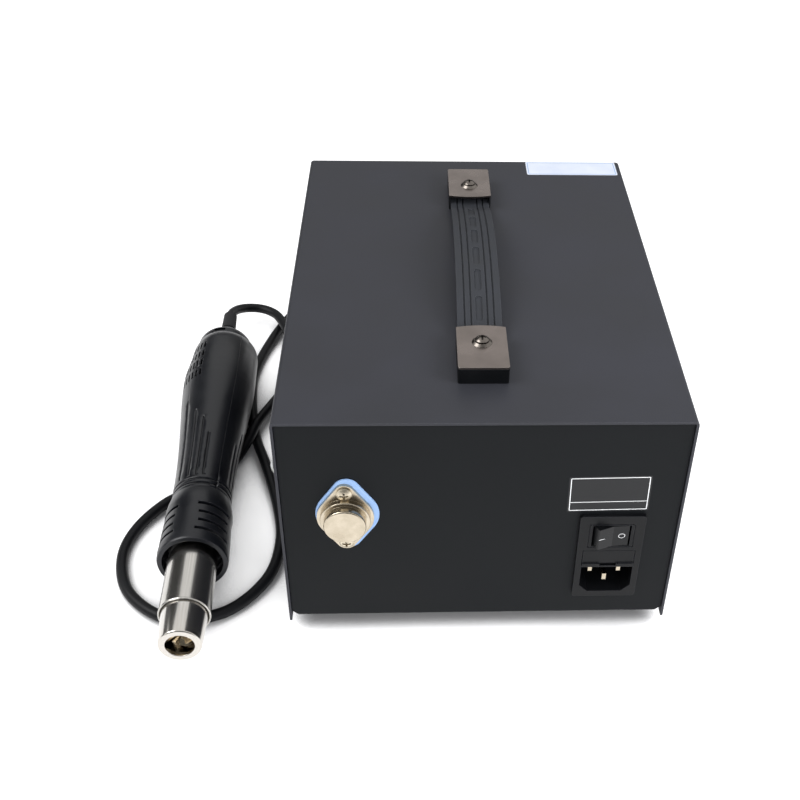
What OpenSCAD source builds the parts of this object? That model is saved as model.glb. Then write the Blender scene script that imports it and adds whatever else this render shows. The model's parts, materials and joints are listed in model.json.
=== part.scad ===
// Bench soldering station with a hot-air gun lying beside it.
// +Z is up, the front panel faces -Y, the rear panel faces +Y.
// The origin is on the bench, in the middle of the space that the station and the gun take up.

/* [Case] */
// Width across the side walls of the cover
case_w = 187; // [178:1:205]
// Depth of the cover, front edge to rear edge
case_d = 249; // [240:1:280]
// Height of the cover, from the lower edge of its side walls to its top
case_h = 126.5; // [124:0.5:145]
// Thickness of the folded steel sheet
sheet_t = 1.2; // [0.8:0.1:1.6]
// Outside radius of the folds in the sheet
fold_r = 2; // [1.7:0.1:3]
// How far the front and rear panels sit inside the edges of the cover
panel_inset = 1; // [0.8:0.1:2]
// How far the side walls reach below the floor
skirt_drop = 2; // [0:0.5:4]
// Clearance between pieces that lie beside each other
fit_gap = 0.3; // [0.2:0.05:0.4]
// Clearance on the radius of a pivot, shaft or screw
run_gap = 0.05; // [0.03:0.01:0.1]
// Number of vent slots in each side wall
vent_count = 12; // [4:1:14]
// Width of one vent slot
vent_w = 3; // [2:0.5:3.5]
// Length of one vent slot
vent_len = 34; // [20:1:45]
// Distance from one vent slot to the next
vent_pitch = 8; // [6:0.5:9]

/* [Feet] */
// Height of the rubber feet, from the bench to the floor
foot_h = 10; // [8:0.5:16]
// Radius of a foot where it meets the floor
foot_r = 9; // [7:0.5:12]
// Distance of the feet from the middle, side to side
foot_x = 72; // [60:1:78]
// Distance of the feet from the middle, front to back
foot_y = 100; // [90:1:104]

/* [Strap handle] */
// Distance between the two handle screws
strap_pitch = 153.4; // [146:0.2:160]
// Width of the handle end caps
cap_w = 23.4; // [21:0.2:28]
// Length of the handle end caps
cap_len = 32; // [28:0.5:36]
// Height of a handle end with its cap
cap_h = 9; // [8.5:0.25:12]
// Thickness of the metal of the cap
cap_t = 1.1; // [0.8:0.1:1.5]
// Distance from the inner edge of a cap to its screw
cap_screw = 12.2; // [11:0.2:14]
// Width of the rubber strap
strap_w = 21.4; // [19:0.2:21.6]
// Thickness of the rubber strap
strap_t = 4; // [3:0.25:4.2]
// Rise of the strap from its ends to its middle
strap_rise = 11.2; // [6:0.2:14]

/* [Power transistor] */
// Place of the transistor from the middle of the rear panel
transistor_x = 63; // [55:0.5:68]
// Height of the transistor above the bench
transistor_z = 79.8; // [60:0.1:90]
// Distance between its two screws
transistor_pitch = 30.15; // [28:0.05:34]
// Radius of its metal can
can_r = 9.7; // [9:0.1:10.4]
// Height of its metal can above the base
can_h = 6.6; // [5:0.1:9]
// Thickness of its base
base_t = 1.6; // [1:0.1:3]
// Thickness of the heat pad under it
pad_t = 0.8; // [0.4:0.1:1.5]

/* [Mains inlet] */
// Place of the inlet from the middle of the rear panel
inlet_x = -61.3; // [-66:0.1:-50]
// Height of the inlet's middle above the bench
inlet_z = 51.7; // [48:0.1:65]
// Width of the inlet's flange
inlet_w = 31; // [30:0.5:36]
// Height of the inlet's flange
inlet_h = 54; // [53.5:0.5:60]
// Thickness of the inlet's flange
inlet_t = 2.2; // [1.5:0.1:3]
// Angle that the switches turn from one side to the other
rocker_swing = 24; // [16:1:26]
// Distance that the fuse drawer pulls out
drawer_travel = 16; // [8:1:18]

/* [Front panel] */
// Height of the three displays above the bench
display_z = 110; // [106:0.5:112]
// Height of the five knobs above the bench
knob_z = 83; // [81:0.5:86]
// Height of the three front switches above the bench
switch_z = 56; // [54:0.5:57]
// Height of the sockets and the gun's cord entry above the bench
socket_z = 31; // [29:0.5:33]
// Distance between the middles of the three groups of controls
group_x = 60; // [56:0.5:64]
// Distance of the two knobs of a pair from their group's middle
knob_pair_x = 14; // [12.5:0.5:16]
// Radius of a knob
knob_r = 8; // [7:0.25:9]
// Height of a knob
knob_h = 14; // [11:0.5:18]
// Distance between the two binding posts
post_pitch = 19; // [17:0.5:22]

/* [Hot-air gun] */
// Place of the nozzle's front face from the middle of the case, side to side
gun_x = 139.8; // [136:0.2:150]
// Place of the nozzle's front face from the middle of the case, front to back
gun_y = 156.8; // [150:0.2:160]
// Turn of the gun from the direction of the case, seen from above
gun_yaw = 2.8; // [0:0.1:5]
// Tilt of the gun, nozzle up, where it lies over its cord
gun_pitch = 1.95; // [1.9:0.05:2.2]
// Radius of the nozzle
nozzle_r = 10; // [9:0.1:10.6]
// Radius of the nozzle's opening
nozzle_hole_r = 6.8; // [5:0.1:8]
// Length of the nozzle in front of the barrel
nozzle_out = 21.5; // [16:0.5:26]
// Distance that the nozzle pulls off
nozzle_travel = 20; // [10:1:22]
// Radius of the heater barrel
barrel_r = 12.3; // [11.9:0.1:12.8]
// Radius of the front collar at its widest
collar_r = 17.8; // [17:0.1:18.2]
// Radius of the handle at its narrow front end
waist_r = 15.6; // [15.4:0.05:15.7]
// Radius of the handle at its bulge
bulge_r = 21.1; // [20.9:0.05:21.3]
// Wall of the handle shells
shell_t = 2.2; // [1.8:0.05:2.3]
// Angle of the seam between the handle shells, from the gun's left
seam_angle = 127; // [110:1:140]
// Number of fan blades
blade_count = 9; // [5:1:12]

/* [Hidden] */
$fn = 48;
eps = 0.01;

// Case
wall_x = case_w / 2;
in_x = wall_x - sheet_t;
chassis_x = in_x - fit_gap;
rear_y = case_d / 2 - panel_inset;
front_y = -rear_y;
skirt_z = foot_h - skirt_drop;
top_z = skirt_z + case_h;
roof_z = top_z - sheet_t;
deck_z = foot_h + sheet_t;
flange_h = 15;
flange_end = 12;
corner_cut = 4;
vent_y = -32;
vent_z = foot_h + 42;
floor_vent_x = -53;

// Screws: radius of the shank, radius and height of the head
screw_r = 1.5;
head_r = 3;
head_h = 1.9;
cover_screw_z = foot_h + flange_h - 6;
cover_screw_edge = 25;
cover_screw_y = [cover_screw_edge - case_d / 2, 0, case_d / 2 - cover_screw_edge];
holder_screw_z = foot_h + 94;
holder_screw_y = [case_d / 2 - 8, case_d / 2 - 48];
holder_head_r = 3.6;
nut_h = 2.4;
wall_screw_len = 9;

// Feet
foot_pocket_r = head_r + 1.5;
foot_pocket_h = foot_h / 2;

// Strap handle
strap_half = strap_pitch / 2 + cap_len - cap_screw - 6;
// The strap lies flat in the caps, bends up at their edges and turns over into its arch
strap_flat = strap_pitch / 2 - cap_screw;
strap_angle = 2 * atan(strap_rise / strap_flat);
bend_r = 30;
arch_steps = 22;
bend_steps = 5;
strap_r = strap_flat / sin(strap_angle) - bend_r;
strap_axis_z = top_z + strap_rise - strap_r;
// Places along the underside from the middle to the flat end, with the slope at each
strap_bends = [
  for (i = [0 : arch_steps]) let (a = strap_angle * i / arch_steps)
    [strap_r * sin(a), strap_axis_z + strap_r * cos(a), a],
  for (i = [bend_steps - 1 : -1 : 0]) let (a = strap_angle * i / bend_steps)
    [strap_flat - bend_r * sin(a), top_z + bend_r * (1 - cos(a)), a]
];
groove_w = 0.9;
groove_deep = 0.8;
rib_w = 7;
slot_w = 3.6;
// The slots share out the arch's length
slot_turn = strap_angle / 2.96;
slot_len = 0.8 * slot_turn * PI / 180 * (strap_r + strap_t);
cup_r = 4.8;
cup_h = 1.2;
handle_screw_r = 2;
cap_corner = 1.2;
cap_mid = strap_pitch / 2 - cap_screw + cap_len / 2;
channel_w = strap_w + 2 * run_gap;
base_wall = 3;
cap_bow = 1.4;

// Power transistor
lozenge_mid_r = 13.1;
lozenge_end_r = 4.6;
can_step_w = 1.8;
can_step_h = 2.7;
can_round = 0.8;
pad_margin = 1.5;
pad_shift = [0.9, 0.8];
pin_x = 5.45;
pin_y = -1.9;
pin_r = 0.5;
panel_pin_r = 2;

// Mains inlet, heights measured from its middle
body_inlet_w = 28;
body_inlet_h = 51;
body_inlet_d = 30;
recess = [25, 17];
recess_y = -15.1;
recess_d = 16;
recess_cut = 4.2;
drawer = [25.4, 10.4];
drawer_y = -0.5;
drawer_d = 24;
main_rocker = [18.2, 13.4];
main_rocker_y = 14.4;
bezel = [21.9, 15.2];
bezel_groove = 0.5;
blade = [2, 4];
blade_back = 8;
line_x = 7;
line_tip = 5.5;
earth_tip = 3.5;
fuse_r = 2.6;
fuse_len = 20;
fuse_in = 11;
fuse_floor = 1.2;
fuse_end = 5;
fuse_y = fit_gap + fuse_floor + fuse_r - drawer[1] / 2;
// Places of the three blades, and how deep their tips lie below the flange
blades = [
  [-line_x, recess_y + 2, line_tip], [line_x, recess_y + 2, line_tip], [0, recess_y - 2, earth_tip]
];

// Rocker switches
pivot_in = 1;
pivot_r = 1.2;
pivot_len = 0.8;
rocker_low = 3;
rocker_top = 3.8;
rocker_mid = 2.4;
front_rocker = [19, 13];
frame_wall = 1.4;
frame_lip = 2.6;
frame_t = 1.6;
frame_d = 20;

// Front panel
overlay_t = 0.8;
overlay_edge = 1.5;
window = [44, 20];
window_t = 2;
window_lip = 1.5;
board_t = 1.6;
board_in = 12.6;
front_board_z = [68, 130];
front_post_in = 4.5;
front_board_w = 170;
front_post_r = 3;
front_post_x = 80;
module_size = [38, 15];
pot_r = 7.5;
pot_bush_r = 3.5;
pot_shaft_r = 3;
pot_shaft_out = 11;
groups = [-group_x, 0, group_x];
knob_places = [
  group_x - knob_pair_x, group_x + knob_pair_x, 0, -group_x + knob_pair_x, -group_x - knob_pair_x
];
knob_flutes = 18;
socket_r = 7.8;
socket_in_r = 6;
socket_out = 9;
post_r = 3;
post_bore_r = 2;
post_out = 19;
post_bore_len = 14;
post_collar_r = 7;
post_collar_t = 4;
post_cap_r = 5.6;
post_mouth_r = post_bore_r + 0.7;
gland_x = group_x;
gland_len = 20;
gland_tip_r = 4.2;
gland_body_r = 6;

// Inside the case
board = [150, 96];
board_y = -46;
post_h = 8;
board_z = deck_z + post_h;
cap_big_x = [-52, -26];
cap_big_y = 18;
sink_x = 34;
sink_y = 8;
sink_h = 34;
cap_big_r = 11;
cap_big_h = 34;
core = [76, 44, 64];
core_y = 62;
core_x = 22;
leg_w = 24;
yoke_h = 13;
coil_out = 12;
core_gap = core[0] / 2 - yoke_h - leg_w / 2;
frame_strap_t = 1.5;

// Hot-air gun, distances along its axis from the nozzle's front face
collar_front = 54;
collar_back = 102.6;
shell_front = 103;
shell_back = 240.5;
bulge_at = 208;
back_r = 17.4;
swell = 1.15;
round_off = 6;
round_from = 0.7;
plug_r = 16.7;
plug_len = 9.7;
cap_back = shell_back + plug_len;
relief_end = 284.6;
barrel_back = 112;
wall_thin = 0.6;
lip_r = 0.5;
nozzle_back = 46;
vanes_from = 4;
vanes_len = 9;
heater_from = 50;
heater_len = 56;
shaft_in = 9;
relief_r = 5;
relief_tip_r = 4.2;
seam_gap = 0.25;
duct_from = 191;
duct_t = 0.8;
motor_len = 14;
motor_end = duct_from + motor_len;
rotor_from = motor_end + 1.5;
rotor_len = 13.5;
rotor_to = rotor_from + rotor_len;
duct_to = rotor_to + 2;
hub_r = 8;
shaft_r = 1.5;
motor_r = 9;
blade_tilt = 35;
boss_at = [128, 176];
boss_r = 4.4;
head_deep = 4;
rib_h = 1.5;
flange_at = 110;
flange_t = 1.5;
slot_groove = 0.9;
air_rows = 6;
air_row_slots = 4;
air_turn = 66;
air_turn_pitch = 8;
air_at = 195;
air_pitch = 9.7;
air_w = 1.4;
air_len = 6.6;
plug_t = 1.8;
plug_end_t = 2.5;
spigot_len = 4.6;
hook_turn = 84;
hook_slot = [8, 7, 3.2];
groove_angle = 3.4;
// Long grooves: angle round the gun, and where they end
long_grooves = [[44, 190], [65, 180], [81, 174], [95, 163]];
// Shape of the collar: share of its length, share of the way from its widest to the waist
collar_shape = [[0, 0.3], [0.06, 0.08], [0.25, 0], [0.6, 0.2], [0.86, 0.5], [0.95, 0.8], [1, 1]];

// Height of the nozzle's front face above the bench, where the bulge touches the bench
gun_z = max([
  for (s = [bulge_at - 10 : 0.5 : shell_back])
    handle_r(s) * cos(gun_pitch) + s * sin(gun_pitch)
]);

// Distance of the origin from the middle of the case
reach_x = max([for (s = [bulge_at - 10 : 0.5 : shell_back]) gun_point(s)[0] + handle_r(s) * cos(gun_yaw)]);
reach_back = gun_y + nozzle_r * sqrt(1 - pow(cos(gun_yaw) * cos(gun_pitch), 2));
reach_front = front_y - overlay_t - gland_len;
origin_x = (reach_x - wall_x - head_h) / 2;
origin_y = (reach_back + reach_front) / 2;

function lerp(a, b, t) = a + (b - a) * t;
function smooth(t) = t * t * (3 - 2 * t);

// Radius of the handle at the distance s along the gun: it swells from the waist to the bulge,
// then rounds off to the end cap
function handle_r(s) =
  s < bulge_at
    ? lerp(waist_r, bulge_r, smooth(pow((s - shell_front) / (bulge_at - shell_front), swell)))
    : bulge_r - (bulge_r - back_r) * pow((s - bulge_at) / (shell_back - bulge_at), round_off);

// Inside radius of the handle shells
function shell_in(s) = handle_r(s) - shell_t;

// Outside radius of the fan's duct, which fits between the shells over its whole length
duct_r = min(shell_in(duct_from), shell_in(duct_to)) - fit_gap;

// Point on the gun's axis, from the middle of the case
function gun_point(s) = [
  gun_x + s * sin(gun_yaw) * cos(gun_pitch),
  gun_y - s * cos(gun_yaw) * cos(gun_pitch),
  gun_z - s * sin(gun_pitch)
];

// Cord from the gun to the front panel, from the middle of the case
gun_cord_r = 3;
cord_sides = 10;
route = concat(
  [gun_point(relief_end)],
  [
    [153.5, -134.5, 17.2], [151, -142.5, 14.5], [145.5, -148.8, 11.6], [137.5, -151, 9.7],
    [129.5, -147.5, 9.3], [123, -139.5, 9.4], [116, -122.5, 8], [110.5, -94, 3.6],
    [112.5, -72, 4], [119, -49, 7.6], [126.3, -27.5, 9.5], [130.6, -12.5, 7.2], [139, 5, 3.5],
    [151.5, 22, 3], [169.5, 33.5, 3], [183, 55, 3], [186, 78, 3], [177, 102, 3], [154.5, 118, 3],
    [127, 114, 3], [108.5, 92, 3], [104, 65, 3], [108, 38, 3], [118, 3.5, 3], [127, -23, 3],
    [132.8, -56, 3], [134.2, -88, 3], [127.5, -122, 3], [117, -152, 3], [101, -182, 3],
    [70, -203, 3], [26, -211, 3], [-16, -206, 3], [-37, -188, 3], [-30, -167, 3],
    [-5, -160.5, 3.6], [36, -169, 8.5], [56, -162, 22.5]
  ],
  [[gland_x, front_y - overlay_t - gland_len, socket_z]]
);
cord_rings = 2 * len(route) - 1;

module in_frame() translate([-origin_x, -origin_y, 0]) children();

// Place a shape on the outside of the rear panel: its own X runs to the right seen from behind
module on_rear(x, z) translate([x, rear_y, z]) rotate([90, 0, 180]) children();

// Place a shape on the outside of the front panel: its own X runs to the right seen from the front
module on_front(x, z) translate([x, front_y, z]) rotate([90, 0, 0]) children();

// Place a shape on the gun: its own Z runs back along the gun, X is its left and Y is up
module on_gun() translate([gun_x, gun_y, gun_z]) rotate([90 + gun_pitch, 0, gun_yaw]) children();

module box(size, r) {
  square([size[0] - 2 * r, size[1]], center = true);
  square([size[0], size[1] - 2 * r], center = true);
  for (x = [-1, 1], y = [-1, 1])
    translate([x * (size[0] / 2 - r), y * (size[1] / 2 - r)])
      circle(r);
}

// Outline with a flat foot at z0 and two round corners at z1
module arch(half, z0, z1, r) {
  translate([-half, z0])
    square([2 * half, z1 - r - z0]);
  translate([-half + r, z0])
    square([2 * (half - r), z1 - z0]);
  for (x = [-1, 1])
    translate([x * (half - r), z1 - r])
      circle(r);
}

// Outline of a diamond base: a large circle and two small ones joined by their tangents
module lozenge(pitch, mid_r, end_r) {
  d = pitch / 2;
  c = (mid_r - end_r) / d;
  s = sqrt(1 - c * c);
  circle(mid_r);
  for (y = [-1, 1])
    translate([0, y * d])
      circle(end_r);
  polygon([
    [mid_r * s, mid_r * c], [end_r * s, d + end_r * c], [-end_r * s, d + end_r * c],
    [-mid_r * s, mid_r * c], [-mid_r * s, -mid_r * c], [-end_r * s, -d - end_r * c],
    [end_r * s, -d - end_r * c], [mid_r * s, -mid_r * c]
  ]);
}

// Screw with a rounded head on z = 0 and its shank going down
module screw(r, len, hr, hh) {
  translate([0, 0, -len])
    cylinder(h = len + eps, r = r);
  rotate_extrude()
    intersection() {
      square([hr, hh]);
      translate([0, hh - hr * 1.4])
        circle(hr * 1.4);
    }
}

// Hot-air gun's ring between two radii over a range of its length, in a sector of the circle
module ring_sector(r0, r1, s0, s1, from, sweep) {
  rotate([0, 0, from])
    rotate_extrude(angle = sweep)
      translate([r0, s0])
        square([r1 - r0, s1 - s0]);
}

// Upside-down U of sheet steel: the top and both side walls
module cover() color("#46484c") in_frame() difference() {
  rotate([90, 0, 0])
    linear_extrude(case_d, center = true)
      difference() {
        arch(wall_x, skirt_z, top_z, fold_r);
        arch(in_x, skirt_z - 1, roof_z, fold_r - sheet_t);
      }
  for (i = [0 : vent_count - 1])
    translate([0, vent_y + (i - (vent_count - 1) / 2) * vent_pitch, vent_z])
      rotate([0, 90, 0])
        linear_extrude(case_w + 2, center = true)
          box([vent_len, vent_w], vent_w / 2 - 0.1);
  for (y = [-1, 1])
    translate([0, y * strap_pitch / 2, roof_z - 1])
      cylinder(h = sheet_t + 2, r = handle_screw_r + run_gap);
  for (y = cover_screw_y)
    translate([0, y, cover_screw_z])
      rotate([0, 90, 0])
        cylinder(h = case_w + 2, r = screw_r + run_gap, center = true);
  for (y = holder_screw_y)
    translate([wall_x - sheet_t - 1, y, holder_screw_z])
      rotate([0, 90, 0])
        cylinder(h = sheet_t + 2, r = screw_r + run_gap);
}

// U of sheet steel: the floor, the front panel and the rear panel, with a flange along each side
module chassis() color("#2f3033") in_frame() difference() {
  union() {
    rotate([90, 0, 90])
      linear_extrude(2 * chassis_x, center = true)
        difference() {
          mirror([0, 1])
            arch(rear_y, fit_gap - roof_z, -foot_h, fold_r);
          mirror([0, 1])
            arch(rear_y - sheet_t, -roof_z - 1, -deck_z, fold_r - sheet_t);
        }
    for (x = [-1, 1])
      translate([x * (chassis_x - sheet_t / 2), 0, foot_h + flange_h / 2])
        cube([sheet_t, 2 * (rear_y - flange_end), flange_h], center = true);
  }
  for (x = [-1, 1])
    translate([x * chassis_x, rear_y, foot_h])
      rotate([0, 45, 0])
        cube([corner_cut * sqrt(2), 2 * (sheet_t + fold_r), corner_cut * sqrt(2)], center = true);
  for (x = [-1, 1], y = [-1, 1])
    translate([x * foot_x, y * foot_y, foot_h - 1])
      cylinder(h = sheet_t + 2, r = screw_r + run_gap);
  for (y = cover_screw_y)
    translate([0, y, cover_screw_z])
      rotate([0, 90, 0])
        cylinder(h = case_w, r = screw_r + run_gap, center = true);
  for (x = [-1, 1], y = [-1, 1])
    translate([x * (board[0] / 2 - 5), board_y + y * (board[1] / 2 - 5), foot_h - 1])
      cylinder(h = sheet_t + 2, r = screw_r + run_gap);
  for (i = [-3 : 3])
    translate([i * vent_pitch + floor_vent_x, core_y, foot_h])
      linear_extrude(4 * sheet_t, center = true)
        box([vent_w, vent_len], vent_w / 2 - 0.1);
  on_rear(inlet_x, inlet_z)
    translate([0, 0, -sheet_t / 2])
      cube([body_inlet_w + 2 * fit_gap, body_inlet_h + 2 * fit_gap, 2 * sheet_t], center = true);
  on_rear(transistor_x, transistor_z)
    translate([0, 0, -sheet_t - 1]) {
      for (y = [-1, 1])
        translate([0, y * transistor_pitch / 2, 0])
          cylinder(h = sheet_t + 2, r = screw_r + run_gap);
      for (x = [-1, 1])
        translate([x * pin_x, pin_y, 0])
          cylinder(h = sheet_t + 2, r = panel_pin_r);
    }
  front_holes();
}

// Outline of everything that passes through the front panel
module front_openings() {
  for (x = groups) {
    translate([x, display_z])
      square([window[0] + 2 * run_gap, window[1] + 2 * run_gap], center = true);
    translate([x, switch_z])
      square([front_rocker[0] + 2 * frame_wall + 2 * run_gap, front_rocker[1] + 2 * frame_wall + 2 * run_gap],
        center = true);
  }
  for (x = knob_places)
    translate([x, knob_z])
      circle(pot_bush_r + run_gap);
  translate([0, socket_z])
    circle(socket_r + run_gap);
  for (side = [-1, 1])
    translate([-group_x + side * post_pitch / 2, socket_z])
      circle(post_r + run_gap);
  translate([gland_x, socket_z])
    circle(gland_body_r + run_gap);
}

// The same openings as cutters through the panel and the plate on it
module front_holes()
  on_front(0, 0)
    translate([0, 0, -sheet_t - 1])
      linear_extrude(sheet_t + overlay_t + 2)
        front_openings();

module feet() color("#1d1d1f") in_frame()
  for (x = [-1, 1], y = [-1, 1])
    translate([x * foot_x, y * foot_y, 0])
      difference() {
        cylinder(h = foot_h, r1 = foot_r - 1.5, r2 = foot_r);
        translate([0, 0, -1])
          cylinder(h = foot_pocket_h + 1, r = foot_pocket_r);
        cylinder(h = foot_h + 1, r = screw_r + run_gap);
      }

module foot_screws() color("#b9bbbd") in_frame()
  for (x = [-1, 1], y = [-1, 1])
    translate([x * foot_x, y * foot_y, foot_pocket_h])
      mirror([0, 0, 1])
        screw(screw_r, deck_z - foot_pocket_h + 3, head_r, head_h);

module cover_screws() color("#26272a") in_frame()
  for (x = [-1, 1], y = cover_screw_y)
    translate([x * wall_x, y, cover_screw_z])
      rotate([0, x * 90, 0])
        screw(screw_r, wall_screw_len, head_r, head_h);

// Two pan-head screws in the left wall, for the gun's rest
module holder_screws() color("#c9c8c4") in_frame()
  for (y = holder_screw_y)
    translate([wall_x, y, holder_screw_z])
      rotate([0, 90, 0]) {
        screw(screw_r, wall_screw_len, holder_head_r, head_h + 0.6);
        translate([0, 0, -sheet_t - nut_h])
          cylinder(h = nut_h, r = 2 * screw_r, $fn = 6);
      }

// One handle end's outline, its inner edge bowed towards the strap
module cap_outline(w, l) {
  r = (pow(w / 2, 2) + pow(cap_bow, 2)) / (2 * cap_bow);
  box([w, l], cap_corner);
  intersection() {
    translate([0, -l / 2 - cap_bow + r])
      circle(r);
    translate([-w / 2, -l / 2 - cap_bow])
      square([w, l / 2]);
  }
}

// Channels of black plastic that hold the ends of the strap
module handle_bases() color("#17181a") in_frame()
  for (a = [0, 180])
    rotate([0, 0, a])
      translate([0, cap_mid, top_z])
        difference() {
          linear_extrude(cap_h - cap_t)
            box([cap_w, cap_len], cap_corner);
          translate([-channel_w / 2, -cap_len / 2 - 1, -1])
            cube([channel_w, cap_len - base_wall + 1, cap_h + 1]);
        }

// Metal plates on top of the handle ends
module handle_caps() color("#8a827d") in_frame()
  for (a = [0, 180])
    rotate([0, 0, a])
      translate([0, cap_mid, top_z + cap_h - cap_t])
        difference() {
          linear_extrude(cap_t)
            cap_outline(cap_w, cap_len);
          translate([0, -cap_len / 2 + cap_screw, -1])
            cylinder(h = cap_t + 2, r = handle_screw_r + run_gap);
        }

// Ribbed rubber strap, bent to an arch, with a slot for the screw near each end
module handle_strap() color("#3d3f43") in_frame() difference() {
  strap_layer(0, strap_t, strap_w, strap_half);
  for (side = [-1, 1], x = [rib_w / 2 + groove_w / 2, rib_w / 2 + 2.7 + groove_w])
    translate([side * x, 0, 0])
      strap_layer(strap_t - groove_deep, strap_t + 1, groove_w, strap_half + 1);
  for (i = [-2.5 : 2.5])
    translate([0, 0, strap_axis_z])
      rotate([-i * slot_turn, 0, 0])
        translate([0, 0, strap_r + strap_t - groove_deep])
          linear_extrude(groove_deep + 1)
            box([slot_w, slot_len], slot_w / 2 - 0.1);
  for (y = [-1, 1])
    translate([0, y * strap_pitch / 2, top_z - 1])
      linear_extrude(cap_h)
        box([2 * handle_screw_r + 2, 14], handle_screw_r + 0.9);
}

// Layer of the strap between two heights above its underside, as wide and as long as said
module strap_layer(low, high, w, end) {
  half = concat(strap_line(low, end), [for (i = [len(strap_bends) : -1 : 0]) strap_line(high, end)[i]]);
  rotate([90, 0, 90])
    linear_extrude(w, center = true)
      polygon(concat(half, [for (i = [len(half) - 2 : -1 : 1]) [-half[i][0], half[i][1]]]));
}

// Half of the strap's side outline, at one height above its underside
function strap_line(height, end) = [
  for (p = strap_bends) [p[0] + height * sin(p[2]), p[1] + height * cos(p[2])],
  [end, top_z + height]
];

module handle_screws() color("#b5aca6") in_frame()
  for (y = [-1, 1])
    translate([0, y * strap_pitch / 2, top_z + cap_h]) {
      cylinder(h = cup_h, r1 = cup_r, r2 = cup_r - cup_h);
      translate([0, 0, cup_h])
        screw(handle_screw_r, cap_h + sheet_t + cup_h + nut_h + 1, cup_r - 1.6, head_h);
      translate([0, 0, -cap_h - sheet_t - nut_h])
        cylinder(h = nut_h, r = 2 * handle_screw_r, $fn = 6);
    }

module transistor_pad() color("#9db8e6") in_frame()
  on_rear(transistor_x, transistor_z)
    linear_extrude(pad_t)
      difference() {
        translate([pad_shift[0], pad_shift[1]])
          lozenge(transistor_pitch, lozenge_mid_r + pad_margin, lozenge_end_r + pad_margin);
        for (y = [-1, 1])
          translate([0, y * transistor_pitch / 2])
            circle(screw_r + run_gap);
        for (x = [-1, 1])
          translate([x * pin_x, pin_y])
            circle(panel_pin_r);
      }

// Diamond base, stepped round can, and two pins that pass through the panel
module power_transistor() color("#d9c9b4") in_frame()
  on_rear(transistor_x, transistor_z)
    translate([0, 0, pad_t]) {
      linear_extrude(base_t)
        difference() {
          lozenge(transistor_pitch, lozenge_mid_r, lozenge_end_r);
          for (y = [-1, 1])
            translate([0, y * transistor_pitch / 2])
              circle(screw_r + run_gap);
        }
      translate([0, 0, base_t])
        rotate_extrude() {
          square([can_r + can_step_w, can_step_h - can_round / 2]);
          square([can_r + can_step_w - can_round / 2, can_step_h]);
          translate([can_r + can_step_w - can_round / 2, can_step_h - can_round / 2])
            circle(can_round / 2);
          square([can_r, can_h - can_round]);
          square([can_r - can_round, can_h]);
          translate([can_r - can_round, can_h - can_round])
            circle(can_round);
        }
      for (x = [-1, 1])
        translate([x * pin_x, pin_y, -pad_t - sheet_t - 8])
          cylinder(h = 8 + pad_t + sheet_t + base_t / 2, r = pin_r);
    }

module transistor_screws() color("#d8cdb8") in_frame()
  on_rear(transistor_x, transistor_z)
    for (y = [-1, 1])
      translate([0, y * transistor_pitch / 2, pad_t + base_t]) {
        screw(screw_r, pad_t + base_t + sheet_t + 5, 3.5, 2.2);
        translate([0, 0, -pad_t - base_t - sheet_t - nut_h])
          cylinder(h = nut_h, r = 2 * screw_r, $fn = 6);
      }

// Black moulding of the mains inlet: a flange with three wells, and a body behind the panel
module inlet_housing() color("#232427") in_frame()
  on_rear(inlet_x, inlet_z)
    difference() {
      union() {
        linear_extrude(inlet_t)
          box([inlet_w, inlet_h], 1.5);
        translate([0, 0, -body_inlet_d / 2])
          cube([body_inlet_w, body_inlet_h, body_inlet_d + eps], center = true);
      }
      translate([0, recess_y, inlet_t - recess_d])
        linear_extrude(recess_d + 1)
          polygon([
            [-recess[0] / 2, recess[1] / 2], [recess[0] / 2, recess[1] / 2],
            [recess[0] / 2, recess_cut - recess[1] / 2], [recess[0] / 2 - recess_cut, -recess[1] / 2],
            [recess_cut - recess[0] / 2, -recess[1] / 2], [-recess[0] / 2, recess_cut - recess[1] / 2]
          ]);
      translate([0, drawer_y, inlet_t - drawer_d / 2])
        cube([drawer[0], drawer[1], drawer_d + 1], center = true);
      translate([0, main_rocker_y, 0])
        rocker_well(main_rocker, inlet_t);
      translate([0, main_rocker_y, inlet_t - bezel_groove])
        linear_extrude(1)
          difference() {
            square(bezel, center = true);
            square([bezel[0] - 2 * bezel_groove, bezel[1] - 2 * bezel_groove], center = true);
          }
      for (p = blades)
        translate([p[0] - blade[0] / 2, p[1] - blade[1] / 2, -body_inlet_d - 1])
          cube([blade[0], blade[1], body_inlet_d + 2 + inlet_t - recess_d]);
    }

module inlet_pins() color("#d9d3c4") in_frame()
  on_rear(inlet_x, inlet_z)
    for (p = blades)
      translate([p[0] - blade[0] / 2, p[1] - blade[1] / 2, -body_inlet_d - blade_back])
        cube([blade[0], blade[1], inlet_t - p[2] + body_inlet_d + blade_back]);

// Well for a rocker with its two pivot holes, the surface round it being at z = face
module rocker_well(size, face) {
  low = sin(rocker_swing / 2) * size[0] / 2 + rocker_low + 2 * fit_gap;
  translate([-size[0] / 2, -size[1] / 2, -pivot_in - low])
    cube([size[0], size[1], face + pivot_in + low + 1]);
  translate([0, 0, -pivot_in])
    rotate([90, 0, 0])
      cylinder(h = size[1] + 2 * pivot_len + 2 * run_gap, r = pivot_r + run_gap, center = true);
}

// Rocker with a hollow face and ends round its pivot, turned to one side
module rocker(size, side) {
  swing_r = size[0] / 2 - fit_gap;
  translate([0, 0, -pivot_in])
    rotate([0, side * rocker_swing / 2, 0])
      rotate([90, 0, 0]) {
        linear_extrude(size[1] - 2 * fit_gap, center = true)
          intersection() {
            circle(swing_r);
            polygon([
              [-swing_r, -rocker_low], [swing_r, -rocker_low], [swing_r, pivot_in + rocker_top],
              [0, pivot_in + rocker_mid], [-swing_r, pivot_in + rocker_top]
            ]);
          }
        cylinder(h = size[1] + 2 * pivot_len, r = pivot_r, center = true);
      }
}

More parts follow.
